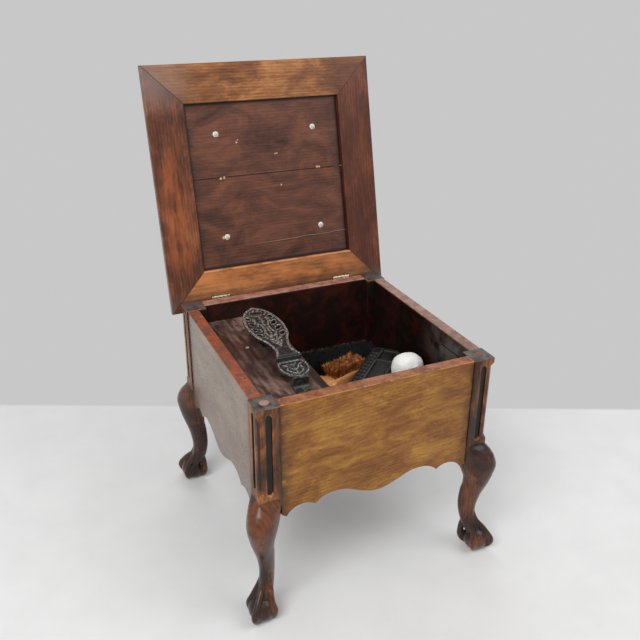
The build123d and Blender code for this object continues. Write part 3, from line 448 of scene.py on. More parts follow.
@dataclass(frozen=True)
class Timber:
    """Waxed wood: growth rings, fibres and pores, with dark wax and painted shade in the nooks and wear on
    top.

    Colours run from the dark summer growth to the pale spring growth. The darkest colour fills the pores and
    darkens the nooks, where it is painted shade together with the old wax that gathers in hollows.
    """

    name: str
    dark: Colour
    middle: Colour
    pale: Colour
    dirt_and_shade: Colour = (34, 20, 14)
    grain: Grain = Grain.ALONG_X
    slope: float = 0.0  # degrees that the grain climbs
    heart: Point = (0.0, 0.05, 0.03)  # metres from the part's axes to the tree's heart
    ring: float = 60.0  # rings, as the wave texture counts them
    figure: float = 0.16  # how strongly the rings show
    fibre: float = 0.5  # how strongly the fibres show
    blotch: float = 0.5  # how patchy the colour is
    pore: float = 0.4  # how dark the open pores are
    nook: float = 0.012  # reach of the painted shade and old wax in nooks, metres
    rough: float = 0.38
    coat: float = 0.12
    bend: float = 1.4  # how strongly the wax bends light

    def colour(self, graph: Graph) -> tuple[Socket, Socket]:
        """Lays the rings, fibres, blotches and pores over each other.

        Args:
            graph: The material being made.

        Returns:
            The colour, and the pores' height.
        """
        laid = graph.along(self.grain, (1.0, 1.0, 1.0), self.slope)
        moved = graph.turned(laid, self.heart, (0.0, 0.035, 0.05), (0.09, 1.0, 1.0))
        rings = graph.rings(moved, self.ring, 3.4, 1.6)
        streaks = graph.cloud(graph.along(self.grain, (60.0, 820.0, 820.0), self.slope), 1.0, 5.0, 0.66, 0.4)
        bands = graph.cloud(graph.along(self.grain, (11.0, 52.0, 52.0), self.slope), 1.0, 5.0, 0.62, 1.7)
        patches = graph.cloud(graph.along(self.grain, (11.0, 21.0, 21.0)), 1.0, 7.0, 0.68, 0.8)
        tone: Input = 0.5
        layers = (
            (rings, self.figure), (streaks, self.fibre * 1.5), (bands, self.fibre * 1.1),
            (patches, self.blotch * 1.7),
        )
        for part, share in layers:
            tone = graph.sums("ADD", graph.times(graph.sums("SUBTRACT", part, 0.5), share), tone)
        colour = graph.shades(tone, ((0.12, self.dark), (0.5, self.middle), (0.88, self.pale)))
        dashes = graph.cloud(graph.along(self.grain, (110.0, 1100.0, 1100.0), self.slope), 1.0, 2.0, 0.5)
        pores = graph.step(dashes, 0.57, 0.68)
        colour = graph.over(colour, pores, self.dirt_and_shade, self.pore)
        return colour, graph.sums("SUBTRACT", 1.0, pores)

    def build(self, place: Place, extra: Callable[[Graph, Socket], Socket] | None = None) -> Finish:
        """Makes the material.

        Args:
            place: The part's own axes.
            extra: Paints what one part alone has, over the wood's colour.

        Returns:
            The material.
        """
        graph = Graph(self.name, place)
        colour, height = self.colour(graph)
        if extra is not None:
            colour = extra(graph, colour)
        # painted shade: the nooks that ambient occlusion finds are darkened, standing also for old wax
        colour = graph.over(colour, graph.step(graph.hollows(self.nook), 0.28, 0.85), self.dirt_and_shade)
        smears = graph.cloud(graph.coords, 28.0, 4.0, 0.6)
        rough = graph.sums("ADD", graph.times(smears, 0.22), self.rough - 0.11)
        dents = graph.bump(graph.cloud(graph.coords, 70.0, 2.0, 0.5), 0.25, 0.0012)
        normal = graph.bump(height, 0.35, 0.0003, dents)
        return graph.done(colour, rough, normal, Coat_Weight=self.coat, Coat_Roughness=0.22, IOR=self.bend)


# -------- shapes
def loose(name: str, data: bpy.types.ID | None) -> Thing:
    """A new object in the scene, with its data."""
    made = bpy.data.objects.new(name, data)
    bpy.context.scene.collection.objects.link(made)
    return made


class Form:
    """A mesh being made, in a part's own millimetres."""

    def __init__(self, *starts: bpy.types.Mesh) -> None:
        """Starts from nothing, or from the faces of other meshes."""
        self.mesh = bmesh.new()
        for start in starts:
            self.mesh.from_mesh(start)

    def weld(self, gap: float) -> None:
        """Welds the points that lie within a gap of each other."""
        bmesh.ops.remove_doubles(self.mesh, verts=self.mesh.verts[:], dist=gap)

    def close(self) -> None:
        """Fills the mesh's open edges."""
        rims = [edge for edge in self.mesh.edges if edge.is_boundary]
        bmesh.ops.holes_fill(self.mesh, edges=rims, sides=0)

    def cut(self, height: float) -> None:
        """Cuts off what lies below a height, and closes the cut."""
        geom = [*self.mesh.verts, *self.mesh.edges, *self.mesh.faces]
        bmesh.ops.bisect_plane(
            self.mesh, geom=geom, plane_co=(0, 0, height), plane_no=(0, 0, -1), clear_outer=True,
        )
        self.close()

    def skin(self, rows: int, columns: int, shape: Callable[[float, float], Vector]) -> None:
        """A grid wrapped into a closed tube, with its seam and its pointed ends welded.

        Args:
            rows: Steps along it.
            columns: Steps round it.
            shape: The point at a share along it and a share round it.
        """
        made = bmesh.ops.create_grid(self.mesh, x_segments=rows, y_segments=columns, size=0.5)["verts"]
        for vert in made:
            vert.co = shape(vert.co.x + 0.5, vert.co.y + 0.5)
        bmesh.ops.remove_doubles(self.mesh, verts=made, dist=1e-4)

    def tube(
        self, path: Sequence[Sequence[float]], radii: Sequence[float], rows: int, columns: int,
        flat: float = 1.0, up: Point = (0, 0, 1),
    ) -> None:
        """A round or flattened tube along a smooth path, with rounded ends.

        Args:
            path: Points that it runs through.
            radii: Radius at even steps along it.
            rows: Steps along it.
            columns: Steps round it.
            flat: Its thickness towards up, as a share of its width.
            up: The side that flat thins.
        """
        sizes = [(radius,) for radius in radii]

        end = 0.08  # share of the steps that round each end
        near = 0.01  # share along the path over which its direction is read

        def shape(along: float, around: float) -> Vector:
            """A point of the tube's skin."""
            share = min(max((along - end) / (1 - 2 * end), 0.0), 1.0)
            here = Vector(curve_through(path, share))
            ahead = Vector(curve_through(path, min(share + near, 1.0)))
            run = (ahead - Vector(curve_through(path, max(share - near, 0.0)))).normalized()
            side = run.cross(Vector(up)).normalized()
            over = side.cross(run).normalized()
            radius = curve_through(sizes, share)[0]
            cap = 0.0
            if along < end:
                cap = (end - along) / end
            elif along > 1 - end:
                cap = (1 - end - along) / end
            lean = cap * math.pi / 2
            angle = around * math.tau
            spread = radius * math.cos(lean)
            round_ = side * spread * math.cos(angle) + over * spread * flat * math.sin(angle)
            return here - run * radius * math.sin(lean) + round_

        self.skin(rows, columns, shape)

    def turned(self, profile: Sequence[tuple[float, float]], place: Matrix, steps: int = 32) -> None:
        """A turned shape, spun from its profile.

        Args:
            profile: Radius and height of each point.
            place: Where its foot stands.
            steps: Steps round it.
        """
        verts = [self.mesh.verts.new(place @ Vector((radius, 0, height))) for radius, height in profile]
        edges = [self.mesh.edges.new(pair) for pair in zip(verts, verts[1:])]
        bmesh.ops.spin(
            self.mesh, geom=[*verts, *edges], cent=place.translation, axis=place.to_3x3() @ Vector((0, 0, 1)),
            dvec=(0, 0, 0), angle=math.tau, steps=steps, use_merge=True, use_duplicate=False,
        )
        self.weld(1e-4)

    def ball(self, centre: Sequence[float], radius: float, rings: int) -> None:
        """A ball."""
        matrix = Matrix.Translation(Vector(centre))
        bmesh.ops.create_uvsphere(
            self.mesh, u_segments=rings * 2, v_segments=rings, radius=radius, matrix=matrix,
        )

    def block(self, size: Sequence[float], place: Matrix, arris: float = 0.0, steps: int = 2) -> None:
        """A block with rounded arrises.

        Args:
            size: Its three sides.
            place: Its middle, with its turn.
            arris: Radius of every edge.
            steps: Segments of the rounding.
        """
        scaled = place @ Matrix.Diagonal((*size, 1.0))
        made = bmesh.ops.create_cube(self.mesh, size=1.0, matrix=scaled)["verts"]
        if arris:
            edges = {edge for vert in made for edge in vert.link_edges}
            bmesh.ops.bevel(
                self.mesh, geom=list(edges), offset=arris, offset_type="OFFSET", segments=steps,
                profile=0.5, affect="EDGES", material=-1, clamp_overlap=True,
            )

    def part(self, name: str) -> Thing:
        """The mesh as a loose object in the part's millimetres, with its faces outwards."""
        bmesh.ops.recalc_face_normals(self.mesh, faces=self.mesh.faces[:])
        return self.raw(name)

    def raw(self, name: str) -> Thing:
        """The mesh as a loose object, with its faces as they are."""
        data = bpy.data.meshes.new(name)
        self.mesh.to_mesh(data)
        self.mesh.free()
        return loose(name, data)


def applied(thing: Thing) -> Thing:
    """Bakes an object's modifiers into its mesh.

    Args:
        thing: The object.

    Returns:
        The same object, with no modifiers.
    """
    graph = bpy.context.evaluated_depsgraph_get()
    data = bpy.data.meshes.new_from_object(thing.evaluated_get(graph))
    old = thing.data
    thing.modifiers.clear()
    thing.data = data
    bpy.data.meshes.remove(old)
    return thing


def fused(thing: Thing, voxel: float, smooth: int) -> Thing:
    """Fuses overlapping shapes into one skin and softens where they meet.

    Args:
        thing: The object.
        voxel: Grain of the new skin.
        smooth: Passes of smoothing.

    Returns:
        The same object.
    """
    remesh = thing.modifiers.new("fuse", "REMESH")
    remesh.mode = "VOXEL"
    remesh.voxel_size = voxel
    remesh.use_smooth_shade = True
    if smooth:
        soften = thing.modifiers.new("soften", "SMOOTH")
        soften.factor = 0.5
        soften.iterations = smooth
    return applied(thing)


def joined(things: Sequence[Thing], name: str) -> Thing:
    """Joins loose objects into one.

    Args:
        things: The objects, in one place.
        name: The new object's name.

    Returns:
        The joined object.
    """
    form = Form(*(thing.data for thing in things))
    for thing in things:
        bpy.data.objects.remove(thing)
    return form.raw(name)


def skinned(name: str, curve: bpy.types.Curve) -> Thing:
    """A curve's surface as a loose mesh object."""
    made = loose(name, curve)
    bpy.context.view_layer.update()
    data = bpy.data.meshes.new_from_object(made.evaluated_get(bpy.context.evaluated_depsgraph_get()))
    bpy.data.objects.remove(made)
    return loose(name, data)


def plate(
    name: str, loops: Sequence[Sequence[Sequence[float]]], low: float, high: float, arris: float,
    sharp: bool = False,
) -> Thing:
    """A flat plate cut to an outline, with holes and rounded edges.

    Args:
        name: The object's name.
        loops: The outline and then the holes, each a loop of points.
        low: Height of its underside.
        high: Height of its top.
        arris: Radius of its edges.
        sharp: Straight runs between the points, and not a smooth curve.

    Returns:
        The plate, in the millimetres of its points.
    """
    curve = bpy.data.curves.new(name, "CURVE")
    curve.dimensions = "2D"
    curve.fill_mode = "BOTH"
    curve.resolution_u = 1 if sharp else 8
    curve.extrude = (high - low) / 2 - arris
    curve.bevel_depth = arris
    curve.bevel_resolution = 2
    curve.offset = -arris
    for loop in loops:
        spline = curve.splines.new("BEZIER")
        spline.bezier_points.add(len(loop) - 1)
        spline.use_cyclic_u = True
        for knot, point in zip(spline.bezier_points, loop):
            knot.co = (point[0], point[1], 0)
            kind = "VECTOR" if sharp or len(point) > 2 else "AUTO"
            knot.handle_left_type = knot.handle_right_type = kind
    flat = skinned(name, curve)
    flat.data.transform(Matrix.Translation((0, 0, (low + high) / 2)))
    form = Form(flat.data)
    form.weld(1e-3)
    bmesh.ops.recalc_face_normals(form.mesh, faces=form.mesh.faces[:])
    form.mesh.to_mesh(flat.data)
    form.mesh.free()
    return flat


def reshape(thing: Thing, move: Callable[[Vector, Vector], Vector]) -> None:
    """Moves each point of a mesh.

    Args:
        thing: The object.
        move: The shift for a point and the way its surface faces.
    """
    shifts = [move(vert.co, vert.normal) for vert in thing.data.vertices]
    for vert, shift in zip(thing.data.vertices, shifts):
        vert.co += shift
    thing.data.update()


def settle(
    thing: Thing, place: Place, body: str, slot: str, material: Finish,
    *stands_for: str, smooth: bool = True,
) -> Thing:
    """Sets a finished shape in the row frame, dresses it and hangs it on its body.

    Args:
        thing: The object, in its part's millimetres.
        place: The part's own axes.
        body: The body that it moves with.
        slot: Not used.
        material: Its finish.
        *stands_for: The plain parts that it replaces.
        smooth: Smooth shading.

    Returns:
        The same object.
    """
    thing.data.transform(place.matrix())
    thing.data.materials.clear()
    thing.data.materials.append(material)
    for face in thing.data.polygons:
        face.use_smooth = smooth
    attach(thing, body)
    if stands_for:
        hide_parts(*stands_for)
    LOG.info("%s: %d faces on %s", thing.name, len(thing.data.polygons), body)
    return thing


def dress(material: Finish, *nodes: str) -> None:
    """Gives plain parts their finish.

    Args:
        material: The finish.
        *nodes: The parts' names.
    """
    for name in nodes:
        thing = frame["nodes"][name]
        if not thing.material_slots:
            thing.data.materials.append(material)
        for spot in thing.material_slots:
            spot.material = material
        LOG.info("%s: %s", name, material.name)


# -------- studio
@dataclass
class Studio:
    """A pale table top before a grey ground, soft lamps and the camera."""

    eye: Point = (-0.46198, -1.04543, 0.88967)
    look: Point = (0.37483, 0.82329, -0.42626)
    roll: float = 0.41  # degrees
    lens: float = 42.39
    shift: tuple[float, float] = (-0.0013, 0.0008)
    table: Colour = (238, 238, 238)
    ground: Colour = (200, 200, 200)
    table_back: float = 0.292  # metres behind the middle to the table's back edge
    table_soft: float = 0.006  # metres over which that edge fades
    wide: float = 40.0  # metres from the middle to the floor's edge
    room: float = 0.42  # strength of the room's own light

    def camera(self) -> None:
        """Sets up the camera."""
        data = bpy.data.cameras.new("camera")
        data.lens = self.lens
        data.sensor_width = 36.0
        data.clip_start, data.clip_end = 0.01, 200.0
        data.shift_x, data.shift_y = self.shift
        camera = loose("camera", data)
        roll = Matrix.Rotation(math.radians(self.roll), 3, "Z")
        aim = Vector(self.look).to_track_quat("-Z", "Y").to_matrix() @ roll
        camera.matrix_world = Matrix.Translation(self.eye) @ aim.to_4x4()
        bpy.context.scene.camera = camera

    def floor(self) -> None:
        """Lays the table top, which ends in grey behind the box."""
        form = Form()
        bmesh.ops.create_circle(form.mesh, cap_ends=True, segments=64, radius=self.wide / MM)
        bmesh.ops.translate(form.mesh, verts=form.mesh.verts[:], vec=(0, 0, -0.05))
        floor = form.part("floor")
        floor.data.transform(Matrix.Scale(MM, 4))
        graph = Graph("table_top")
        away = Vector((self.look[0], self.look[1], 0)).normalized()
        turned = graph.turned(graph.coords, (0, 0, 0), (0, 0, -math.atan2(away.y, away.x)), 1.0)
        far = graph.add("ShaderNodeSeparateXYZ", {0: turned}).outputs[0]
        behind = graph.step(far, self.table_back - self.table_soft, self.table_back + self.table_soft)
        mottle = graph.patchy(9.0, 0.3, 0.7, 5.0, 0.6)
        pale = graph.blend(mottle, tint(self.table), tint(tuple(c - 5 for c in self.table)))
        material = graph.done(pale, 0.75, None, Specular_IOR_Level=0.2)
        rays = graph.add("ShaderNodeLightPath").outputs["Is Camera Ray"]
        shown = graph.add("ShaderNodeEmission", {"Color": tint(self.ground)}).outputs[0]
        inputs = {0: graph.times(behind, rays), 1: graph.shader.outputs[0], 2: shown}
        mixed = graph.add("ShaderNodeMixShader", inputs)
        output = next(node for node in graph.tree.nodes if node.bl_idname == "ShaderNodeOutputMaterial")
        graph.feed(output.inputs[0], mixed.outputs[0])
        floor.data.materials.append(material)

    def lamp(self, name: str, place: Point, target: Point, size: float, power: float) -> None:
        """Hangs a soft square lamp.

        Args:
            name: Its name.
            place: Where it hangs.
            target: What it points at.
            size: Its side, in metres.
            power: Watts.
        """
        data = bpy.data.lights.new(name, "AREA")
        data.size = size
        data.energy = power
        lamp = loose(name, data)
        aim = (Vector(target) - Vector(place)).to_track_quat("-Z", "Y")
        lamp.matrix_world = Matrix.Translation(place) @ aim.to_matrix().to_4x4()

    def light(self) -> None:
        """Hangs the lamps and fills the room with a soft grey light."""
        self.lamp("key", (-1.5, -1.3, 2.1), (0.0, 0.0, 0.25), 1.5, 38.0)
        self.lamp("fill", (1.4, -1.2, 2.1), (0.0, 0.0, 0.3), 1.6, 18.0)
        self.lamp("back", (0.4, 2.0, 1.9), (0.0, 0.0, 0.3), 1.6, 14.0)
        world = bpy.data.worlds.new("room")
        bpy.context.scene.world = world
        world.use_nodes = True
        tree = world.node_tree
        tree.nodes.clear()
        kinds = "OutputWorld", "MixShader", "Background", "Background", "LightPath", "Math", "Math"
        nodes = [tree.nodes.new(f"ShaderNode{kind}") for kind in kinds]
        output, mix, room, seen, rays, either, mirrored = nodes
        either.operation = mirrored.operation = "MAXIMUM"
        room.inputs[0].default_value = (1, 1, 1, 1)
        room.inputs[1].default_value = self.room
        seen.inputs[0].default_value = tint(self.ground)
        for source, target in (
            (rays.outputs["Is Camera Ray"], either.inputs[0]),
            (rays.outputs["Is Transmission Ray"], either.inputs[1]),
            (either.outputs[0], mirrored.inputs[0]), (rays.outputs["Is Glossy Ray"], mirrored.inputs[1]),
            (mirrored.outputs[0], mix.inputs[0]), (room.outputs[0], mix.inputs[1]),
            (seen.outputs[0], mix.inputs[2]), (mix.outputs[0], output.inputs[0]),
        ):
            tree.links.new(source, target)

    def build(self) -> None:
        """Sets up the whole studio."""
        scene = bpy.context.scene
        scene.view_settings.view_transform = "Standard"
        self.camera()
        self.floor()
        self.light()
        LOG.info("studio: camera, table, three lamps")


# -------- case
# metres in the case's own axes
RIM = 0.360  # top of the boards and posts
INNER_FACE = 0.170  # middle to the boards' inner faces
OUTER_FACE = 0.190  # middle to the posts' outer faces
FLUTE_DEPTH = 0.0035
KNEE_TOP = 0.207  # where the post turns into the leg


def inside_dark(graph: Graph, colour: Socket, dark: Colour) -> Socket:
    """Darkens the faces that look into the box.

    Args:
        graph: The material being made.
        colour: The wood's colour.
        dark: The dark colour given to the inside faces.

    Returns:
        The colour with a dark inside.
    """
    x, y, z = graph.heights()
    outermost = graph.most(graph.size(x), graph.size(y))
    within = graph.times(
        graph.step(outermost, INNER_FACE + 0.0006, INNER_FACE - 0.0006),
        graph.step(z, RIM - 0.0012, RIM - 0.0040), graph.step(z, KNEE_TOP - 0.002, KNEE_TOP + 0.002),
    )
    mottle = graph.step(graph.cloud(graph.coords, 22.0, 6.0, 0.7, 0.6), 0.44, 0.66)
    redder = tuple(channel * gain for channel, gain in zip(dark, (2.3, 1.6, 1.2)))
    return graph.blend(within, colour, graph.blend(mottle, tint(dark), tint(redder)))


def worn_rim(graph: Graph, colour: Socket, low: Colour, high: Colour, chips: Colour) -> Socket:
    """Rubs the top edges of the boards down to paler wood.

    Args:
        graph: The material being made.
        colour: The wood's colour.
        low: The rubbed wood where it is darker.
        high: The rubbed wood where it is paler.
        chips: The bare wood of small chips.

    Returns:
        The colour with a worn rim.
    """
    _, _, z = graph.heights()
    top = graph.step(z, RIM - 0.0022, RIM - 0.0008)
    worn = graph.blend(graph.patchy(55.0, 0.36, 0.64, 5.0, 0.7), tint(low), tint(high))
    worn = graph.over(worn, graph.patchy(210.0, 0.64, 0.70, 4.0, 0.6), chips)
    return graph.blend(graph.times(top, 0.92), colour, worn)


@dataclass
class CarvedLeg:
    """A corner post that turns into a cabriole leg with a ball and claw foot.

    X runs outwards along the diagonal from the post's outer corner, and Z is up.
    """

    corner: str
    side_x: int
    side_y: int
    ball_radius: float = 20.5
    ball_out: float = 2.2  # outwards from the post's corner
    ball_height: float = 18.0
    voxel: float = 1.15  # grain of the fused carving
    arris: float = 0.8  # wear of the post's edges
    # height, outer side, inner side, half width, roundness
    sections: tuple[tuple[float, ...], ...] = (
        (214.0, -1.5, -48.0, 23.4, 0.0),
        (207.0, -0.6, -48.5, 24.0, 0.08),
        (201.0, 4.0, -48.0, 24.2, 0.40),
        (194.0, 10.5, -47.2, 23.8, 0.70),
        (185.0, 16.5, -46.0, 23.2, 0.90),
        (170.0, 21.0, -43.0, 22.4, 1.0),
        (155.0, 18.5, -35.5, 20.4, 1.0),
        (140.0, 14.5, -29.5, 17.3, 1.0),
        (125.0, 9.0, -29.0, 14.6, 1.0),
        (110.0, 2.9, -31.8, 12.9, 1.0),
        (95.0, -1.2, -33.3, 11.5, 1.0),
        (80.0, -3.7, -33.3, 10.9, 1.0),
        (65.0, -3.3, -30.8, 11.0, 1.0),
        (52.0, 0.5, -27.0, 11.5, 1.0),
        (40.0, 7.0, -21.0, 12.5, 1.0),
        (26.0, 10.0, -14.0, 12.0, 1.0),
    )
    # reach from the ball's middle, height and shift along X of each point down a toe
    front_toe: tuple[Point, ...] = (
        (-10.5, 76.0, 0), (-3.0, 54.0, 0), (8.0, 41.5, 0), (17.0, 32.0, 0), (24.0, 20.0, 0),
        (22.2, 10.5, 0), (17.8, 4.6, 0),
    )
    side_toe: tuple[Point, ...] = (
        (6.0, 72.0, -17), (9.0, 54.0, -12), (12.5, 41.0, -5), (16.6, 31.5, -1), (20.0, 21.0, 0),
        (19.6, 11.0, 0), (16.6, 4.6, 0),
    )
    heel_toe: tuple[Point, ...] = (
        (27.0, 70.0, 0), (24.0, 52.0, 0), (25.0, 39.0, 0), (26.4, 28.0, 0), (25.4, 18.0, 0),
        (23.0, 10.0, 0), (18.0, 4.6, 0),
    )
    toe_radii: tuple[float, ...] = (2.4, 4.2, 5.4, 5.2, 6.2, 4.7, 3.0)

    def place(self) -> Place:
        """The leg's own axes."""
        angle = math.atan2(self.side_y, self.side_x)
        origin = CASE.at(self.side_x * OUTER_FACE / MM, self.side_y * OUTER_FACE / MM, 0)
        return Place(origin, Matrix.Rotation(angle, 3, "Z"))

    def stem(self, form: Form) -> None:
        """The curved leg, from the knee to the ankle."""
        top, foot = self.sections[0][0], self.sections[-1][0]
        heights = [row[0] for row in self.sections]

        def shape(along: float, around: float) -> Vector:
            """A point of the leg's skin."""
            height = top + (foot - top) * along
            index = max(i for i, value in enumerate(heights) if value >= height - 1e-6)
            index = min(index, len(heights) - 2)
            within = (heights[index] - height) / (heights[index] - heights[index + 1])
            share = (index + within) / (len(heights) - 1)
            _, outer, inner, half, roundness = curve_through(self.sections, share)
            power = 1.0 + min(max(roundness, 0.0), 1.0) ** 0.8
            angle = around * math.tau
            cos, sin = math.cos(angle), math.sin(angle)
            reach = (abs(cos) ** power + abs(sin) ** power) ** (-1 / power)
            wide = (outer - inner) / 2
            return Vector(((outer + inner) / 2 + wide * reach * cos, half * reach * sin, height))

        form.skin(120, 72, shape)
        form.close()

    def foot(self, form: Form) -> None:
        """The ball, and the claws that hold it."""
        form.ball((self.ball_out, 0, self.ball_height), self.ball_radius, 24)
        toes = ((0.0, self.front_toe), (90.0, self.side_toe), (270.0, self.side_toe), (180.0, self.heel_toe))
        for turn, steps in toes:
            outwards = Vector((math.cos(math.radians(turn)), math.sin(math.radians(turn)), 0))
            across = outwards.cross(Vector((0, 0, 1)))
            path = [
                Vector((self.ball_out + shift, 0, height)) + outwards * reach
                for reach, height, shift in steps
            ]
            form.tube(path, self.toe_radii, 60, 24, 0.92, up=tuple(across))

    def carving(self) -> Thing:
        """The leg below the post, fused, softened and cut level with the floor."""
        form = Form()
        self.stem(form)
        self.foot(form)
        leg = fused(form.part("leg"), self.voxel, 3)
        form = Form(leg.data)
        bpy.data.objects.remove(leg)
        form.cut(0.0)
        carving = form.part("carving")
        carving.data.polygons.foreach_set("material_index", [2] * len(carving.data.polygons))
        return carving

    def square(self) -> Thing:
        """The square post above the leg, with its arrises worn."""
        form = Form(frame["nodes"][f"leg_{self.corner}"].data)
        form.weld(1e-6)
        bmesh.ops.transform(form.mesh, matrix=self.place().matrix().inverted(), verts=form.mesh.verts[:])
        form.cut(KNEE_TOP / MM)
        bmesh.ops.dissolve_limit(
            form.mesh, angle_limit=math.radians(1), use_dissolve_boundaries=False,
            verts=form.mesh.verts[:], edges=form.mesh.edges[:], delimit=set(),
        )
        post = form.part("post")
        worn = post.modifiers.new("worn", "BEVEL")
        worn.width = self.arris
        worn.segments = 2
        worn.limit_method = "ANGLE"
        worn.angle_limit = math.radians(35)
        post = applied(post)
        for face in post.data.polygons:
            corners = [post.data.vertices[index].co for index in face.vertices]
            rim = sum((a - b).length for a, b in zip(corners, [*corners[1:], corners[0]]))
            narrow = 2 * face.area / rim < 0.55  # the strips that the bevel made
            face.material_index = int(narrow)
        return post

    def build(self, finishes: Sequence[Finish]) -> Thing:
        """Makes the leg.

        Args:
            finishes: The finishes of the post, of its rubbed edges with their painted highlight, and of the
                carving.

        Returns:
            The leg.
        """
        made = joined([self.square(), self.carving()], f"carved_leg_{self.corner}")
        kinds = [face.material_index for face in made.data.polygons]
        settle(made, self.place(), "case", "mahogany", finishes[0], f"leg_{self.corner}")
        for finish in finishes[1:]:
            made.data.materials.append(finish)
        made.data.polygons.foreach_set("material_index", kinds)
        made.data.set_sharp_from_angle(angle=math.radians(38))
        return made


@dataclass
class Case:
    """The box: four legs, four boards, its bottom and its shelf."""

    corners: tuple[tuple[str, int, int], ...] = (
        ("front_left", -1, -1), ("front_right", 1, -1), ("back_left", -1, 1), ("back_right", 1, 1),
    )

    def post_finish(self) -> Finish:
        """The posts' wood, black in its flutes and between them, with waxy tops."""
        wood = Timber(
            "post_wood", (36, 18, 9), (96, 55, 27), (164, 104, 54), grain=Grain.ALONG_Z,
            heart=(0.0, 0.03, 0.02), figure=0.1, fibre=0.4, blotch=1.3, rough=0.34, coat=0.1, bend=1.35,
            nook=0.004,
        )

        def fluted(graph: Graph, colour: Socket) -> Socket:
            """Paints the flutes, the canted corner and the worn top."""
            x, y, z = graph.heights()
            sizes = graph.size(x), graph.size(y)
            floor = OUTER_FACE - FLUTE_DEPTH
            sunk = [
                graph.times(
                    graph.times(
                        graph.step(deep, OUTER_FACE - 0.0004, OUTER_FACE - 0.0012),
                        graph.step(deep, floor - 0.0009, floor - 0.0003),
                    ),
                    graph.step(beside, 0.1800, 0.1790),
                )
                for deep, beside in (sizes, sizes[::-1])
            ]
            colour = graph.over(colour, graph.most(*sunk), (17, 10, 7), 0.95)
            inner = graph.most(*(graph.step(beside, 0.1620, 0.1570) for beside in sizes))
            colour = graph.over(colour, inner, (40, 23, 14), 0.6)
            aslant = graph.size(graph.sums("SUBTRACT", *sizes))
            outermost = graph.step(graph.sums("ADD", *sizes), 0.3705, 0.3715)
            cant = graph.times(graph.step(aslant, 0.0036, 0.0026), outermost)
            length = graph.times(graph.step(z, 0.226, 0.232), graph.step(z, 0.345, 0.339))
            colour = graph.over(colour, graph.times(cant, length), (26, 15, 10), 0.85)
            colour = inside_dark(graph, colour, (24, 15, 13))
            top = graph.step(z, RIM - 0.0018, RIM - 0.0008)
            colour = graph.over(colour, top, (52, 46, 44))
            return graph.over(colour, graph.times(top, graph.patchy(60.0, 0.3, 0.6)), (104, 96, 92), 0.8)

        return wood.build(CASE, fluted)

    def leg_finish(self) -> Finish:
        """The carved legs' wood, pale on its ridges and black in its dips."""
        wood = Timber(
            "leg_wood", (16, 8, 5), (52, 27, 15), (116, 64, 34), grain=Grain.ALONG_Z,
            heart=(0.0, 0.03, 0.02), figure=0.1, fibre=0.3, blotch=1.4, rough=0.25, coat=0.3, bend=1.35,
            nook=0.008,
        )

        def worn(graph: Graph, colour: Socket) -> Socket:
            """Rubs the ridges, darkens the dips and paints a warm highlight round the knee."""
            _, _, z = graph.heights()
            below = graph.step(z, KNEE_TOP + 0.0065, KNEE_TOP - 0.0020)
            colour = graph.over(colour, graph.times(graph.crests(0.505, 0.56), below), (150, 84, 42), 0.4)
            colour = graph.over(colour, graph.times(graph.crests(0.495, 0.455), below), (22, 12, 8), 0.85)
            # painted highlight on the knee's bulge
            glow = graph.times(graph.line(z, 0.176, 0.026), graph.patchy(30.0, 0.36, 0.6))
            return graph.over(colour, glow, (130, 70, 34), 0.2)

        return wood.build(CASE, worn)

    def legs(self) -> None:
        """Carves the legs."""
        # the pale edges are wear, with a painted highlight along the arrises
        rubbed = Timber(
            "rubbed_arris_highlight", (98, 56, 28), (166, 106, 58), (206, 146, 90), grain=Grain.ALONG_Z, nook=0.0015,
            rough=0.35, blotch=0.9,
        )
        edges = rubbed.build(CASE, lambda graph, colour: inside_dark(graph, colour, (34, 22, 18)))
        finishes = [self.post_finish(), edges, self.leg_finish()]
        for corner, side_x, side_y in self.corners:
            CarvedLeg(corner, side_x, side_y).build(finishes)

    def front(self) -> None:
        """Dresses the golden front board."""
        golden = Timber(
            "golden_front", (88, 46, 16), (148, 95, 32), (196, 146, 60), slope=4.0,
            heart=(0.02, 0.232, -0.27), ring=70.0, figure=0.1, fibre=0.3, blotch=0.75, rough=0.38,
            pore=0.7, coat=0.04,
        )

        def paint(graph: Graph, colour: Socket) -> Socket:
            """Paints shade at the ends beside the posts, the red and gold patches, the rubbed top edge and a
            highlight along its front arris.
            """
            x, _, z = graph.heights()
            # painted shade where the board meets the posts
            ends = graph.times(graph.step(graph.size(x), 0.132, 0.156), graph.patchy(60.0, 0.25, 0.6))
            colour = graph.over(colour, ends, (66, 38, 20), 0.85)
            colour = graph.over(colour, graph.step(x, 0.02, 0.15), (110, 62, 26), 0.18)
            low = graph.cloud(graph.along(Grain.ALONG_X, (12.0, 24.0, 24.0), 6.0), 1.0, 4.0, 0.6, 1.2)
            colour = graph.over(colour, graph.step(low, 0.48, 0.68), (118, 62, 30), 0.6)
            high = graph.cloud(graph.along(Grain.ALONG_X, (9.0, 30.0, 30.0), 4.0), 1.0, 4.0, 0.6, 0.8)
            colour = graph.over(colour, graph.step(high, 0.54, 0.72), (182, 136, 52), 0.5)
            colour = worn_rim(graph, colour, (116, 60, 38), (172, 112, 76), (214, 160, 112))
            # painted highlight along the rubbed front arris of the rim
            arris = graph.times(graph.line(z, RIM - 0.001, 0.0011), graph.patchy(30.0, 0.35, 0.55, 3.0))
            colour = graph.over(colour, arris, (206, 132, 70), 0.8)
            return inside_dark(graph, colour, (30, 18, 15))

        dress(golden.build(CASE, paint), "front_board")

    def sides(self) -> None:
        """Dresses the left, right and back boards."""
        # the grey-beige tone is the board's wood with a painted sheen of reflected light laid into it
        side = Timber(
            "left_board_wood_with_sheen", (90, 68, 52), (126, 102, 82), (152, 130, 108), grain=Grain.ALONG_Y,
            heart=(0.0, 0.2, -0.25), figure=0.12, fibre=0.35, blotch=0.8, rough=0.28, coat=0.3,
            pore=0.2,
        )

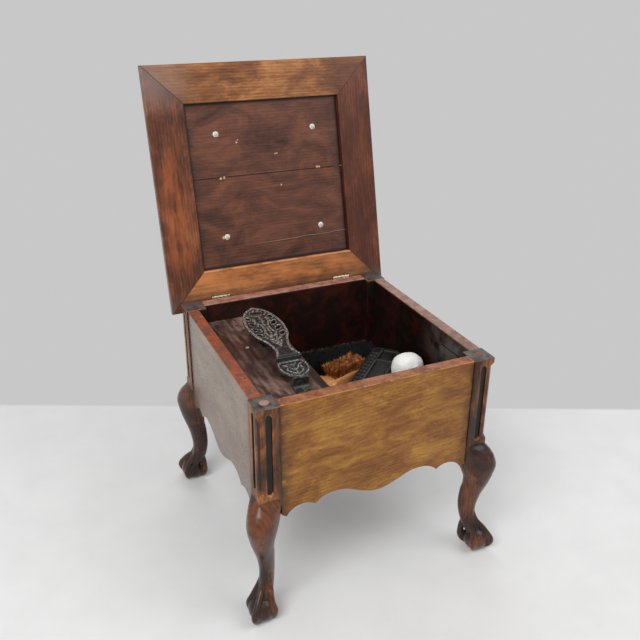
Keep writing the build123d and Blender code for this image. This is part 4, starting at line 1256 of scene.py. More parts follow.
        def left(graph: Graph, colour: Socket) -> Socket:
            """Paints shade at the ends beside the posts and towards the foot, and rubs the rim."""
            _, y, z = graph.heights()
            # painted shade at the ends beside the posts
            colour = graph.over(colour, graph.step(graph.size(y), 0.115, 0.156), (88, 62, 48), 0.55)
            # painted shade, darker towards the foot
            colour = graph.over(colour, graph.step(z, 0.29, 0.21), (104, 78, 62), 0.45)
            colour = worn_rim(graph, colour, (112, 76, 66), (170, 84, 50), (226, 170, 130))
            return inside_dark(graph, colour, (40, 26, 22))

        dress(side.build(CASE, left), "left_board")
        dark = Timber(
            "right_board_wood", (58, 34, 24), (94, 58, 38), (126, 84, 56), grain=Grain.ALONG_Y,
            heart=(0.0, 0.2, -0.25), fibre=0.45, rough=0.34,
        )

        def right(graph: Graph, colour: Socket) -> Socket:
            """Rubs the rim, darkens the inside and paints a grey sheen of reflected light on the upper part
            of the inside.
            """
            _, y, z = graph.heights()
            colour = worn_rim(graph, colour, (132, 92, 78), (172, 132, 114), (206, 176, 156))
            colour = inside_dark(graph, colour, (22, 15, 14))
            # painted reflection: a grey sheen on the upper inside near the front
            sheen = graph.times(graph.step(y, -0.01, -0.07), graph.step(z, 0.27, 0.33))
            sheen = graph.times(sheen, graph.patchy(35.0, 0.35, 0.6))
            return graph.over(colour, sheen, (104, 96, 86), 0.5)

        dress(dark.build(CASE, right), "right_board")
        back = Timber("back_board_wood", (58, 32, 22), (90, 54, 36), (120, 78, 50), fibre=0.45, rough=0.38)

        def rear(graph: Graph, colour: Socket) -> Socket:
            """Rubs the rim and darkens the inside."""
            colour = worn_rim(graph, colour, (150, 96, 80), (190, 144, 126), (206, 172, 152))
            return inside_dark(graph, colour, (28, 15, 12))

        dress(back.build(CASE, rear), "back_board")

    def within(self) -> None:
        """Dresses the bottom, the shelf and their strips."""
        deep = Timber(
            "inside_wood", (26, 15, 13), (44, 27, 22), (70, 46, 38), grain=Grain.ALONG_Y, rough=0.5,
            coat=0.1,
        )
        dress(
            deep.build(CASE), "bottom_board_front", "bottom_board_back", "bottom_cleat_left",
            "bottom_cleat_right", "shelf_ledger_front", "shelf_ledger_back",
        )
        shelf = Timber(
            "shelf_wood", (38, 23, 20), (94, 68, 61), (156, 124, 112), grain=Grain.ALONG_Y, fibre=0.4,
            blotch=1.6, rough=0.4, coat=0.3,
        )

        def dusty(graph: Graph, colour: Socket) -> Socket:
            """Scuffs the shelf, darkens its middle and adds one pale speck."""
            _, y, _ = graph.heights()
            long = graph.cloud(graph.along(Grain.ALONG_Y, (14.0, 60.0, 60.0)), 1.0, 5.0, 0.7)
            colour = graph.over(colour, graph.step(long, 0.56, 0.68), (160, 136, 120), 0.35)
            middle = graph.step(graph.size(graph.sums("SUBTRACT", y, 0.02)), 0.09, 0.03)
            colour = graph.over(colour, middle, (66, 46, 42), 0.45)
            speck = graph.spots(((-0.1185, 0.0519, 0.326, 1.0),), 0.0035)
            return graph.over(colour, speck, (204, 190, 176))

        dress(shelf.build(CASE, dusty), "shelf_board")
        plug = Timber(
            "plug_wood", (84, 58, 50), (118, 84, 72), (150, 112, 98), rough=0.55, coat=0.0, pore=0.3,
            nook=0.0015,
        )

        def left_paler(graph: Graph, colour: Socket) -> Socket:
            """Makes the plugs paler to the left."""
            x, _, _ = graph.heights()
            return graph.over(colour, graph.step(x, 0.1, -0.1), (176, 146, 130), 0.7)

        dress(plug.build(CASE, left_paler), "post_plugs")

    def build(self) -> None:
        """Makes the case."""
        self.legs()
        self.front()
        self.sides()
        self.within()


# -------- lid
TUFTS = (-90.0, 101.0), (-90.0, 277.0), (90.0, 101.0), (90.0, 277.0)  # across, and from the hinge


@dataclass
class Lid:
    """The framed lid: two rails and two stiles round two boards, with the seat's ties."""

    panel_under: float = 9.25  # underside of the boards above the pin's level
    washer: float = 5.0  # radius of a tie's disc
    half: float = 0.205  # metres from the middle to the stiles' outer edges
    back: float = -0.0195  # metres from the pin to the back edge
    front: float = 0.3935  # metres from the pin to the front edge
    stile: float = 64.0  # widths of the frame's members
    back_rail: float = 67.0
    front_rail: float = 64.5

    def mitres(self, graph: Graph) -> Socket:
        """1 on the lid's four mitre lines."""
        x, v, _ = graph.heights()
        out = graph.sums("SUBTRACT", self.half, graph.size(x))
        from_back = graph.times(graph.sums("ADD", v, -self.back), self.stile / self.back_rail)
        from_front = graph.times(graph.sums("SUBTRACT", self.front, v), self.stile / self.front_rail)
        ends = (graph.sums("SUBTRACT", out, along) for along in (from_back, from_front))
        return graph.most(*(graph.line(end, 0.0, 0.0011) for end in ends))

    def frame_members(self) -> None:
        """Dresses the rails and stiles."""
        rail = Timber(
            "lid_rail_wood", (70, 36, 18), (140, 87, 48), (200, 140, 84), heart=(0.0, 0.03, 0.05),
            figure=0.12, fibre=0.4, blotch=0.85, rough=0.32, coat=0.15,
        )

        def rails(graph: Graph, colour: Socket) -> Socket:
            """Paints a grey sheen of reflected light on one corner, a highlight along the back rail's middle
            and a highlight on its lip.
            """
            x, v, _ = graph.heights()
            # painted reflection: a grey sheen on the far left corner
            corner = graph.times(graph.step(x, -0.10, -0.19), graph.step(v, 0.30, 0.36))
            colour = graph.over(colour, corner, (138, 116, 108), 0.65)
            # painted highlight along the back rail
            long = graph.cloud(graph.along(Grain.ALONG_X, (16.0, 50.0, 50.0)), 1.0, 6.0, 0.65)
            rail_highlight = graph.times(graph.line(v, 0.03, 0.026), graph.step(long, 0.30, 0.68))
            colour = graph.over(colour, rail_highlight, (218, 134, 74), 0.8)
            colour = graph.over(colour, graph.step(x, 0.08, 0.19), (92, 52, 36), 0.6)
            colour = graph.over(colour, graph.step(v, 0.016, -0.012), (82, 48, 36), 0.7)
            # painted highlight on the rounded lip of the back rail's inner edge
            bright = graph.times(graph.line(v, 0.0462, 0.0022), graph.patchy(25.0, 0.36, 0.55, 3.0))
            colour = graph.over(colour, bright, (226, 152, 96), 0.85)
            return graph.over(colour, self.mitres(graph), (28, 15, 11), 0.85)

        dress(rail.build(UNDER, rails), "lid_rail_back", "lid_rail_front")
        stile = Timber(
            "lid_stile_wood", (46, 21, 12), (98, 52, 31), (152, 90, 54), grain=Grain.ALONG_Y,
            heart=(0.0, 0.03, 0.04), figure=0.12, fibre=0.5, blotch=1.0, rough=0.32, coat=0.2,
        )

        def stiles(graph: Graph, colour: Socket) -> Socket:
            """Reddens one stile, and paints a grey sheen of reflected light on the other's far corner and
            warms it.
            """
            x, v, _ = graph.heights()
            colour = graph.over(colour, graph.step(x, -0.1, 0.1), (72, 26, 14), 0.5)
            # painted reflection: a grey sheen on the far left corner
            corner = graph.times(graph.step(x, -0.10, -0.19), graph.step(v, 0.30, 0.37))
            colour = graph.over(colour, corner, (140, 122, 116), 0.6)
            long = graph.cloud(graph.along(Grain.ALONG_Y, (16.0, 60.0, 60.0)), 1.0, 6.0, 0.65)
            glow = graph.times(
                graph.step(v, 0.30, 0.20), graph.step(v, 0.03, 0.09),
                graph.times(graph.line(x, -0.176, 0.028), graph.step(long, 0.32, 0.68)),
            )
            colour = graph.over(colour, glow, (176, 94, 46), 0.75)
            colour = graph.over(colour, graph.step(v, 0.02, -0.015), (92, 84, 80), 0.6)
            return graph.over(colour, self.mitres(graph), (24, 13, 10), 0.85)

        dress(stile.build(UNDER, stiles), "lid_stile_left", "lid_stile_right")

    def panels(self) -> None:
        """Dresses the two lid boards."""
        board = Timber(
            "lid_board_wood", (44, 21, 14), (96, 55, 39), (134, 82, 58), heart=(0.0, 0.02, 0.04),
            figure=0.08, fibre=0.3, blotch=0.9, rough=0.40, coat=0.15, nook=0.006,
        )

        def dusty(graph: Graph, colour: Socket) -> Socket:
            """Dusts the boards' edges, paints the shadow that the frame casts along them, and adds their
            joint, crack and chips.
            """
            x, v, _ = graph.heights()
            side = graph.step(graph.size(x), 0.108, 0.142)
            ends = graph.most(graph.step(v, 0.30, 0.331), graph.step(v, 0.075, 0.046))
            dust = graph.times(graph.most(side, ends), graph.patchy(30.0, 0.38, 0.7, 5.0, 0.7))
            colour = graph.over(colour, dust, (48, 42, 44), 0.6)
            # painted shadow: a dark line along the boards' edges under the frame
            edge = graph.most(
                graph.step(graph.size(x), 0.1350, 0.1400),
                graph.step(v, 0.3235, 0.3280), graph.step(v, 0.0540, 0.0500),
            )
            colour = graph.over(colour, edge, (14, 10, 10), 0.9)
            joint = 0.204
            colour = graph.over(colour, graph.line(v, joint, 0.0012), (26, 14, 12), 0.9)
            lip = graph.times(graph.line(v, joint + 0.002, 0.0011), graph.patchy(45.0, 0.5, 0.62, 3.0))
            colour = graph.over(colour, lip, (132, 96, 80), 0.35)
            slant = graph.sums("SUBTRACT", v, graph.times(x, 0.0225))
            wave = graph.times(graph.sums("SUBTRACT", graph.cloud(graph.coords, 40.0, 3.0), 0.5), 0.004)
            split = graph.sums("ADD", slant, wave)
            crack = graph.times(graph.line(split, 0.0815, 0.0006), graph.step(x, -0.050, -0.010))
            colour = graph.over(colour, crack, (18, 10, 9))
            lit = graph.times(graph.line(split, 0.0828, 0.0006), graph.step(x, -0.055, 0.01))
            colour = graph.over(colour, lit, (190, 160, 146), 0.55)
            # across, along and size of each chip
            chips = (
                (-0.0895, 0.203, 1.0), (-0.0835, 0.2035, 0.9), (0.0925, 0.206, 1.0), (0.0975, 0.206, 0.8),
                (-0.0545, 0.261, 0.7), (-0.052, 0.265, 0.5), (0.014, 0.236, 0.6), (0.018, 0.2365, 0.5),
                (0.0205, 0.181, 0.7), (-0.0965, 0.1005, 1.2),
            )
            level = -self.panel_under * MM
            bare = graph.spots([(across, along, level, share) for across, along, share in chips], 0.0024)
            return graph.over(colour, bare, (214, 172, 148))

        dress(board.build(UNDER, dusty), "lid_board_back", "lid_board_front")

    def ties(self) -> None:
        """Makes the white discs and knots that hold the seat's buttons."""
        washers, knots = Form(), Form()
        draw = random.Random(4)
        for x, v in TUFTS:
            rim = self.washer
            profile = (
                (0, 0.9), (rim * 0.4, 1.5), (rim * 0.8, 1.55), (rim * 0.97, 1.1), (rim, 0.5),
                (rim * 0.94, 0), (0, 0),
            )
            washers.turned(profile, Matrix.Translation((x, v, -self.panel_under)), 32)
            angle = draw.uniform(0, math.pi)
            side = Vector((math.cos(angle), math.sin(angle), 0))
            cross = Vector((-side.y, side.x, 0))
            centre = Vector((x, v, -self.panel_under + 2.6))
            for way in (side, cross):
                path = [
                    centre + way * reach + Vector((0, 0, rise))
                    for reach, rise in ((-2.6, -1.4), (-1.8, 0.4), (0, 1.1), (1.8, 0.4), (2.6, -1.4))
                ]
                knots.tube(path, (0.9, 1.1, 1.2, 1.1, 0.9), 24, 12, up=tuple(side.cross(cross)))
            for way in (cross * 0.4 - Vector((0, 1, 0)), side * 0.7 + Vector((0, -0.8, 0))):
                bends = (0, 0), (3.2, 0.9), (6.6, -0.9)
                path = [centre + way * reach + Vector((0, 0, rise)) for reach, rise in bends]
                knots.tube(path, (0.9, 0.75, 0.8), 24, 10, up=(0.3, 0.2, 1))
        white = Graph("tie_disc")
        colour = white.over(tint((236, 236, 234)), white.patchy(600.0, 0.5, 0.75), (196, 194, 190))
        discs = washers.part("tie_discs")
        settle(discs, UNDER, "lid", "white_washer", white.done(colour, 0.45), "tie_washers")
        string = Graph("tie_string")
        strands = string.cloud(string.coords, 1400.0, 3.0)
        colour = string.shades(strands, ((0.35, (178, 174, 166)), (0.65, (228, 226, 220))))
        twine = string.done(colour, 0.8, string.bump(strands, 0.5, 0.0004))
        settle(knots.part("tie_knots"), UNDER, "lid", "white_twine", twine, "tie_twines")

    def build(self) -> None:
        """Makes the lid."""
        self.frame_members()
        self.panels()
        self.ties()


@dataclass
class Hardware:
    """Brass hinges and screws, and steel nails."""

    def metal(self, name: str, bright: Colour, dull: Colour, rough: float) -> Finish:
        """Worn metal, bright where it rubs and dull elsewhere.

        Args:
            name: The finish's name.
            bright: The rubbed colour.
            dull: The tarnish.
            rough: Its roughness.

        Returns:
            The material.
        """
        graph = Graph(name)
        tarnish = graph.cloud(graph.coords, 260.0, 5.0, 0.65)
        colour = graph.shades(tarnish, ((0.36, dull), (0.62, bright)))
        colour = graph.over(colour, graph.step(graph.hollows(0.002), 0.3, 0.9), dull)
        drawn = graph.turned(graph.coords, (0, 0, 0), (0, 0, 0), (300.0, 2600.0, 2600.0))
        return graph.done(
            colour, graph.sums("ADD", graph.times(tarnish, 0.3), rough - 0.15),
            graph.bump(graph.cloud(drawn, 1.0, 2.0), 0.3, 0.0002), Metallic=1.0,
        )

    def build(self) -> None:
        """Dresses the hinges, screws and nails."""
        brass = self.metal("hinge_brass", (226, 216, 190), (150, 132, 100), 0.34)
        dress(
            brass, "hinge_leaf_fixed_left", "hinge_leaf_fixed_right", "hinge_leaf_moving_left",
            "hinge_leaf_moving_right", "hinge_pins",
        )
        screw = self.metal("screw_brass", (232, 206, 142), (150, 116, 62), 0.34)
        dress(screw, "foot_rest_screws", "hinge_screws_case", "hinge_screws_lid")
        nail = self.metal("nail_steel", (128, 122, 116), (66, 54, 48), 0.5)
        dress(nail, "bottom_nails", "shelf_nails", "lid_nails")


# -------- seat
@dataclass
class Seat:
    """The tufted leather seat on the lid's top. X across, Y to the hinge, Z out of the lid."""

    side: float = 300.0
    tall: float = 38.0
    corner: float = 24.0
    middle: float = -189.0  # from the hinge to the seat's middle
    tufts: tuple[tuple[float, float], ...] = tuple((x, -v) for x, v in TUFTS)
    dip: float = 16.0  # how far the buttons lie below the seat's top
    button: float = 9.5  # a button's radius
    edge: float = 11.0  # slack between the cover and the pad's side
    swell: float = 6.0  # furthest that the stuffing pushes the leather out
    crown: float = 8.0  # how far the middle of the pad stands above its edge
    frames: int = 20  # steps of the stuffing's simulation
    fold: float = 3.6  # depth of the folds between the buttons
    welt_size: float = 2.3  # radius of the corded seam

    def tuft_depth(self, point: Vector, reach: float) -> float:
        """How strongly the nearest button pulls on a point, from 0 to 1."""
        gap = min(math.hypot(point.x - x, point.y - y) for x, y in self.tufts)
        return 1 - ease(gap, 4.0, reach)

    def blank(self) -> Thing:
        """The slack cover: a low block with rounded corners, dimpled under the buttons."""
        form = Form()
        low, high = 1.0, self.tall - self.crown
        wide = self.side - 2 * self.edge
        middle = Matrix.Translation((0, self.middle, (low + high) / 2))
        form.block((wide, wide, high - low), middle, 9.0, 4)
        bmesh.ops.subdivide_edges(form.mesh, edges=form.mesh.edges[:], cuts=3, use_grid_fill=True)
        cover = fused(form.part("seat_blank"), 5.0, 2)

        def full(point: Vector, _: Vector) -> Vector:
            """The crown's rise and the buttons' dip at a point."""
            half = self.side / 2 - self.edge
            across = min(abs(point.x) / half, 1.0)
            along = min(abs(point.y - self.middle) / half, 1.0)
            rise = self.crown * (1 - across**2.4) * (1 - along**2.4)
            dip = self.tuft_depth(point, 26.0) * (self.dip - 2.0 + rise)
            return Vector((0, 0, (rise - dip) * ease(point.z, 8.0, 20.0)))

        reshape(cover, full)
        return cover

    def stuffed(self, cover: Thing) -> None:
        """Blows the cover up against its buttons and its edge, and caps the swelling.

        Args:
            cover: The slack cover.
        """
        pins = cover.vertex_groups.new(name="held")
        for index, vert in enumerate(cover.data.vertices):
            point = vert.co
            button = self.tuft_depth(point, 11.0) if point.z > 8 else 0.0
            pins.add([index], max(1 - ease(point.z, 2.0, 7.0), button), "REPLACE")
        cover.data.transform(Matrix.Scale(MM, 4))
        rest = [vert.co.copy() for vert in cover.data.vertices]
        cloth = cover.modifiers.new("stuffing", "CLOTH")
        settings = cloth.settings
        settings.use_pressure = True
        settings.uniform_pressure_force = 4.0
        settings.vertex_group_mass = "held"
        settings.effector_weights.gravity = 0.0
        settings.quality = 5
        settings.tension_stiffness = settings.compression_stiffness = 12.0
        settings.bending_stiffness = 0.6
        cloth.point_cache.frame_start, cloth.point_cache.frame_end = 1, self.frames
        for step in range(1, self.frames + 1):
            bpy.context.scene.frame_set(step)
        applied(cover)
        bpy.context.scene.frame_set(1)
        furthest = 0.0
        for vert, start in zip(cover.data.vertices, rest):
            shift = vert.co - start
            furthest = max(furthest, shift.length)
            if shift.length > self.swell * MM:
                vert.co = start + shift.normalized() * self.swell * MM
        cover.data.transform(Matrix.Scale(1 / MM, 4))
        LOG.info("the stuffing moved the cover by up to %.1f mm", furthest / MM)

    def pulls(self, point: Vector, normal: Vector) -> Vector:
        """Folds that run from button to button and from each button to the edge."""
        if normal.z < 0.2:
            return Vector()
        wide, long = 3.4, 34.0  # half width of a fold, and how far it runs
        x, y = abs(point.x), abs(point.y - self.middle)
        tuft_x, tuft_y = abs(self.tufts[0][0]), abs(self.tufts[0][1] - self.middle)
        near_x = math.exp(-((x - tuft_x) / wide) ** 2)
        near_y = math.exp(-((y - tuft_y) / wide) ** 2)
        away_x = abs(x - tuft_x) if x > tuft_x * 0.2 else tuft_x * 0.8
        pull = near_x * math.exp(-abs(y - tuft_y) / long) + near_y * math.exp(-away_x / long)
        return Vector((0, 0, -self.fold * min(pull, 1.0)))

    def pad(self, leather: Finish) -> None:
        """Makes the stuffed cover."""
        cover = self.blank()
        self.stuffed(cover)
        fine = cover.modifiers.new("fine", "SUBSURF")
        fine.levels = fine.render_levels = 1
        applied(cover)
        reshape(cover, self.pulls)
        foot = 0.3
        reshape(cover, lambda point, _: Vector((0, 0, max(foot - point.z, 0.0))))
        cover.name = cover.data.name = "stuffed_seat"
        settle(cover, SEAT, "lid", "seat_leather", leather, "seat_pad")

    def welt(self, leather: Finish) -> None:
        """Makes the corded seam round the seat's foot."""
        half = self.side / 2 - 9.0
        steps = 6
        path: list[Vector] = []
        for turn in range(4):
            base = math.pi / 2 * turn
            aslant = Vector((math.cos(base + math.pi / 4), math.sin(base + math.pi / 4), 0))
            centre = aslant * (half - self.corner) * math.sqrt(2)
            centre += Vector((0, self.middle, self.welt_size + 0.3))
            for step in range(steps + 1):
                angle = base + math.pi / 2 * step / steps
                path.append(centre + Vector((math.cos(angle), math.sin(angle), 0)) * self.corner)
        curve = bpy.data.curves.new("seat_welt", "CURVE")
        curve.dimensions = "3D"
        curve.bevel_depth = self.welt_size
        curve.bevel_resolution = 3
        spline = curve.splines.new("POLY")
        spline.points.add(len(path) - 1)
        spline.use_cyclic_u = True
        for knot, point in zip(spline.points, path):
            knot.co = (*point, 1.0)
        settle(skinned("seat_welt", curve), SEAT, "lid", "seat_leather", leather)

    def buttons(self, leather: Finish) -> None:
        """Makes the covered buttons."""
        form = Form()
        size = self.button
        profile = (
            (0, 6.0), (size * 0.35, 5.8), (size * 0.68, 5.0), (size * 0.9, 3.7), (size, 2.0),
            (size * 0.94, 0.6), (size * 0.8, 0), (0, 0),
        )
        for x, y in self.tufts:
            form.turned(profile, Matrix.Translation((x, y, self.tall - self.dip)), 40)
        settle(form.part("covered_buttons"), SEAT, "lid", "button_leather", leather, "seat_buttons")

    def leather(self, name: str, dark: Colour, pale: Colour) -> Finish:
        """Waxed hide with creases and a fine grain.

        Args:
            name: The finish's name.
            dark: Its colour in the creases.
            pale: Its colour where it is rubbed.

        Returns:
            The material.
        """
        graph = Graph(name)
        grain = graph.cells(graph.coords, 620.0, "SMOOTH_F1")
        aslant = graph.turned(graph.coords, (0, 0, 0), (0.3, 0.2, 0.1), 1.0)
        cracks = graph.step(graph.cells(aslant, 85.0, "DISTANCE_TO_EDGE"), 0.05, 0.0)
        patches = graph.cloud(graph.coords, 22.0, 4.0, 0.6)
        colour = graph.shades(patches, ((0.3, dark), (0.7, pale)))
        colour = graph.over(colour, cracks, dark, 0.5)
        normal = graph.bump(grain, 0.35, 0.0006)
        normal = graph.bump(graph.sums("SUBTRACT", 1.0, cracks), 0.3, 0.0008, normal)
        rough = graph.sums("ADD", graph.times(patches, 0.3), 0.3)
        return graph.done(colour, rough, normal, Coat_Weight=0.15, Coat_Roughness=0.35)

    def build(self) -> None:
        """Makes the seat."""
        hide = self.leather("seat_leather", (58, 24, 16), (104, 46, 28))
        self.pad(hide)
        self.welt(hide)
        self.buttons(self.leather("button_leather", (46, 18, 12), (88, 38, 24)))


# -------- foot rest
@dataclass
class FootRest:
    """A cast-iron sole and heel on two feet. X across, Y from the heel to the toe, Z up."""

    x: float = -90.0  # place and turn of the heel's end in the case
    y: float = -108.0
    turn: float = -2.0
    long: float = 243.0
    shelf: float = 326.0  # height of the shelf's top
    sole: tuple[float, float] = (351.0, 356.0)
    heel: tuple[float, float] = (343.5, 348.0)
    step: float = 55.0  # from the heel's end to the step
    step_half: float = 20.0
    riser: float = 4.5
    foot_half: float = 12.5
    # along it, and half width there
    sole_halves: tuple[tuple[float, float], ...] = (
        (78.0, 14.3), (112.0, 20.5), (131.0, 28.0), (168.0, 32.0), (205.0, 27.0), (229.0, 17.0),
    )
    heel_halves: tuple[tuple[float, float], ...] = ((30.0, 23.8), (13.0, 17.5))
    screws: tuple[tuple[float, float], ...] = ((3.0, -7.0), (0.0, 156.0), (0.0, 196.0))
    voxel: float = 0.75

    def outline(
        self, halves: Sequence[tuple[float, float]], tip: float, side: int
    ) -> list[tuple[float, ...]]:
        """A plate's outline, from one corner at the step round its tip to the other.

        Args:
            halves: Place along the plate, and half width there.
            tip: Where the plate ends.
            side: 1 to start at the right corner, -1 at the left.

        Returns:
            The loop of points.
        """
        here = [(side * half, along) for along, half in halves]
        there = [(-side * half, along) for along, half in reversed(halves)]
        start, end = (side * self.step_half, self.step, 1), (-side * self.step_half, self.step, 1)
        return [start, *here, (0.0, tip), *there, end]

    def holes(self) -> list[list[tuple[float, float]]]:
        """The openings pierced through the sole."""
        loops = [[(4.2, 209.0), (8.0, 223.0), (-3.0, 226.0), (-9.0, 218.0), (-5.0, 207.5)]]
        for side in (-1, 1):
            for (along, across), (far_along, far_across) in (
                ((183.0, 21.8), (169.0, 12.5)), ((161.5, 23.4), (149.0, 13.2)),
                ((140.0, 22.2), (128.0, 13.8)),
            ):
                start, end = Vector((side * across, along)), Vector((side * far_across, far_along))
                run = (end - start).normalized()
                wide = Vector((-run.y, run.x)) * 2.97
                middle = (start + end) / 2
                diamond = start, middle - wide - run, end, middle + wide + run
                loops.append([tuple(point) for point in diamond])
            leaf = (19.0, 206.0), (22.0, 199.5), (19.5, 193.5), (17.0, 200.0)
            loops.append([(side * across, along) for across, along in leaf])
        return loops

    def feet(self) -> list[Thing]:
        """The two feet, each a neck that spreads into a flange on the shelf."""
        made = []
        for flange, neck, top in (
            ((-12.0, 16.0), (2.0, 13.0), self.heel[0] + 2.0),
            ((150.0, 202.0), (170.0, 182.0), self.sole[0] + 2.0),
        ):
            base = self.shelf + 0.1
            seat = base + 3.4
            outline = [
                (flange[0], base, 1), (flange[1], base, 1), (flange[1], seat, 1), (neck[1] + 6.0, seat + 0.2),
                (neck[1] + 1.0, seat + 4.0), (neck[1], top, 1), (neck[0], top, 1),
                (neck[0] - 1.0, seat + 4.0), (neck[0] - 6.0, seat + 0.2), (flange[0], seat, 1),
            ]
            foot = plate("foot", [outline], -self.foot_half, self.foot_half, 0.6)
            upright = Matrix(((0, 0, 1, 0), (1, 0, 0, 0), (0, 1, 0, 0), (0, 0, 0, 1)))
            foot.data.transform(upright)
            made.append(foot)
        return made

    def strokes(self) -> list[tuple[list[Vector], float, float]]:
        """The raised lines of the casting: points, half width and height."""
        lines: list[tuple[list[Vector], float, float]] = []

        def line(points: Sequence[Sequence[float]], wide: float, tall: float, mirror: bool = True) -> None:
            """Draws a line, and its mirror image unless told not to."""
            for side in (1, -1) if mirror else (1,):
                lines.append(([Vector((side * x, y, 0)) for x, y in points], wide, tall))

        sole = [(half - 2.6, along) for along, half in self.sole_halves[:-1]]
        line([(18.0, 58.0), *sole, (14.6, 227.0), (0.0, 240.0)], 2.7, 1.9)
        # plain pad before the step, with its border
        line([(0.0, 87.0), (8.5, 85.0), (11.0, 79.0), (13.4, 66.0), (14.4, 60.4), (0.0, 60.4)], 1.3, 1.1)
        # raised edges round the openings
        for hole in self.holes():
            middle = sum((Vector(point) for point in hole), Vector((0, 0))) / len(hole)
            ring = [Vector(point) + (Vector(point) - middle).normalized() * 2.3 for point in hole]
            line([tuple(point) for point in (*ring, ring[0])], 1.4, 1.5, mirror=False)
        # broad leaves that sweep from the stem to the edge
        for low, reach in ((96.0, 8.0), (112.0, 13.0), (127.0, 9.5)):
            line([(1.5, low), (reach * 0.6, low + 5.0), (reach, low + 13.0)], 2.4, 1.7)
        stem = (
            (0.0, 90.0), (1.6, 108.0), (5.0, 124.0), (7.5, 140.0), (5.0, 156.0), (6.4, 172.0),
            (11.5, 184.0), (10.0, 196.0),
        )
        line(stem, 2.2, 1.8)
        # middle leaf, with its veins
        leaf = (0.0, 128.0), (0.6, 150.0), (-0.6, 172.0), (0.8, 190.0), (0.0, 203.0)
        line(leaf, 1.9, 1.7, mirror=False)
        for low in (143.0, 155.0, 167.0, 179.0, 190.0):
            line([(0.0, low), (2.6, low + 5.0), (5.4, low + 6.5)], 1.2, 1.3)
        # curls beside the toe opening
        line([(11.5, 209.0), (16.0, 214.0), (18.5, 221.0), (14.0, 228.0)], 1.8, 1.6)
        line([(11.5, 200.0), (14.0, 190.0), (13.0, 180.0)], 1.6, 1.5)
        # heel: a bordered D with a spray of leaves
        line([(0.0, 2.6), (15.2, 14.6), (20.8, 30.0), (18.0, 48.6), (0.0, 50.2)], 1.8, 1.6)
        line([(0.0, 9.0), (0.0, 26.0), (0.0, 42.0)], 1.8, 1.5, mirror=False)
        line([(0.0, 12.0), (6.5, 16.0), (12.0, 25.0), (10.5, 32.0)], 1.9, 1.6)
        line([(0.0, 24.0), (5.0, 29.0), (9.0, 37.0), (14.0, 41.0)], 1.8, 1.5)
        line([(0.0, 36.0), (3.4, 41.0), (7.0, 44.0)], 1.4, 1.3)
        return lines

    def relief(self) -> tuple[KDTree, list[tuple[float, float]]]:
        """Lays points along the raised lines, to look up from the casting's surface.

        Returns:
            The points, and each one's half width and height.
        """
        dots: list[Vector] = []
        sizes: list[tuple[float, float]] = []
        for points, wide, tall in self.strokes():
            rows = [tuple(point) for point in points]
            length = sum((b - a).length for a, b in zip(points, points[1:]))
            steps = max(int(length / 0.5), 2)
            dots.extend(Vector(curve_through(rows, step / steps)) for step in range(steps + 1))
            sizes.extend([(wide, tall)] * (steps + 1))
        tree = KDTree(len(dots))
        for index, point in enumerate(dots):
            tree.insert(point, index)
        tree.balance()
        return tree, sizes

    def rise(self, tree: KDTree, sizes: Sequence[tuple[float, float]], point: Vector) -> float:
        """How high the casting stands above its ground at a point.

        Args:
            tree: The points along the raised lines.
            sizes: Each point's half width and height.
            point: A point of the casting.

        Returns:
            The height, from 0 on the ground and everywhere off the plates' tops.
        """
        on_sole = point.z > self.sole[1] - 1.5 and point.y > self.step
        on_heel = abs(point.z - self.heel[1]) < 1.5 and point.y < self.step - 3
        if not (on_sole or on_heel):
            return 0.0
        high = 0.0
        for _, index, gap in tree.find_n(Vector((point.x, point.y, 0)), 8):
            wide, tall = sizes[index]
            if gap < wide:
                high = max(high, tall * math.sqrt(1 - (gap / wide) ** 2))
        return high

    def raise_lines(self, cast: Thing) -> None:
        """Raises the lines on the casting, and notes where they are rubbed.

        Args:
            cast: The casting, still plain.
        """
        tree, sizes = self.relief()
        rubs: list[float] = []
        for vert in cast.data.vertices:
            point, up = vert.co.copy(), vert.normal.z > 0.35
            high = self.rise(tree, sizes, point) if up else 0.0
            rubs.append(min(high / 1.6, 1.0))
            if up and point.z > self.heel[1] - 1.5:
                vert.co.z += high - 1.0 + noise.noise(point * 0.35) * 0.25
            elif up and point.z < self.shelf + 6.0:
                # the sunk seats of the screws
                if any(math.hypot(point.x - x, point.y - y) < 4.3 for x, y in self.screws):
                    vert.co.z -= 1.5
        rubbed = cast.data.attributes.new("rubbed", "FLOAT", "POINT")
        rubbed.data.foreach_set("value", rubs)
        cast.data.update()

    def build(self) -> None:
        """Makes the casting."""
        parts = [
            plate("sole", [self.outline(self.sole_halves, self.long, 1), *self.holes()], *self.sole, 1.1),
            plate("heel", [self.outline(self.heel_halves, 0.0, -1)], *self.heel, 1.1),
            *self.feet(),
        ]
        form = Form()
        tall = self.sole[1] - self.heel[0]
        middle = Matrix.Translation((0, self.step, self.heel[0] + tall / 2))
        form.block((self.step_half * 2, self.riser, tall), middle, 0.8)
        parts.append(form.part("riser"))
        cast = fused(joined(parts, "cast_foot_rest"), self.voxel, 2)
        self.raise_lines(cast)
        place = CASE.moved(self.x, self.y, 0, self.turn)
        settle(cast, place, "case", "black_iron", self.iron(), "foot_rest")

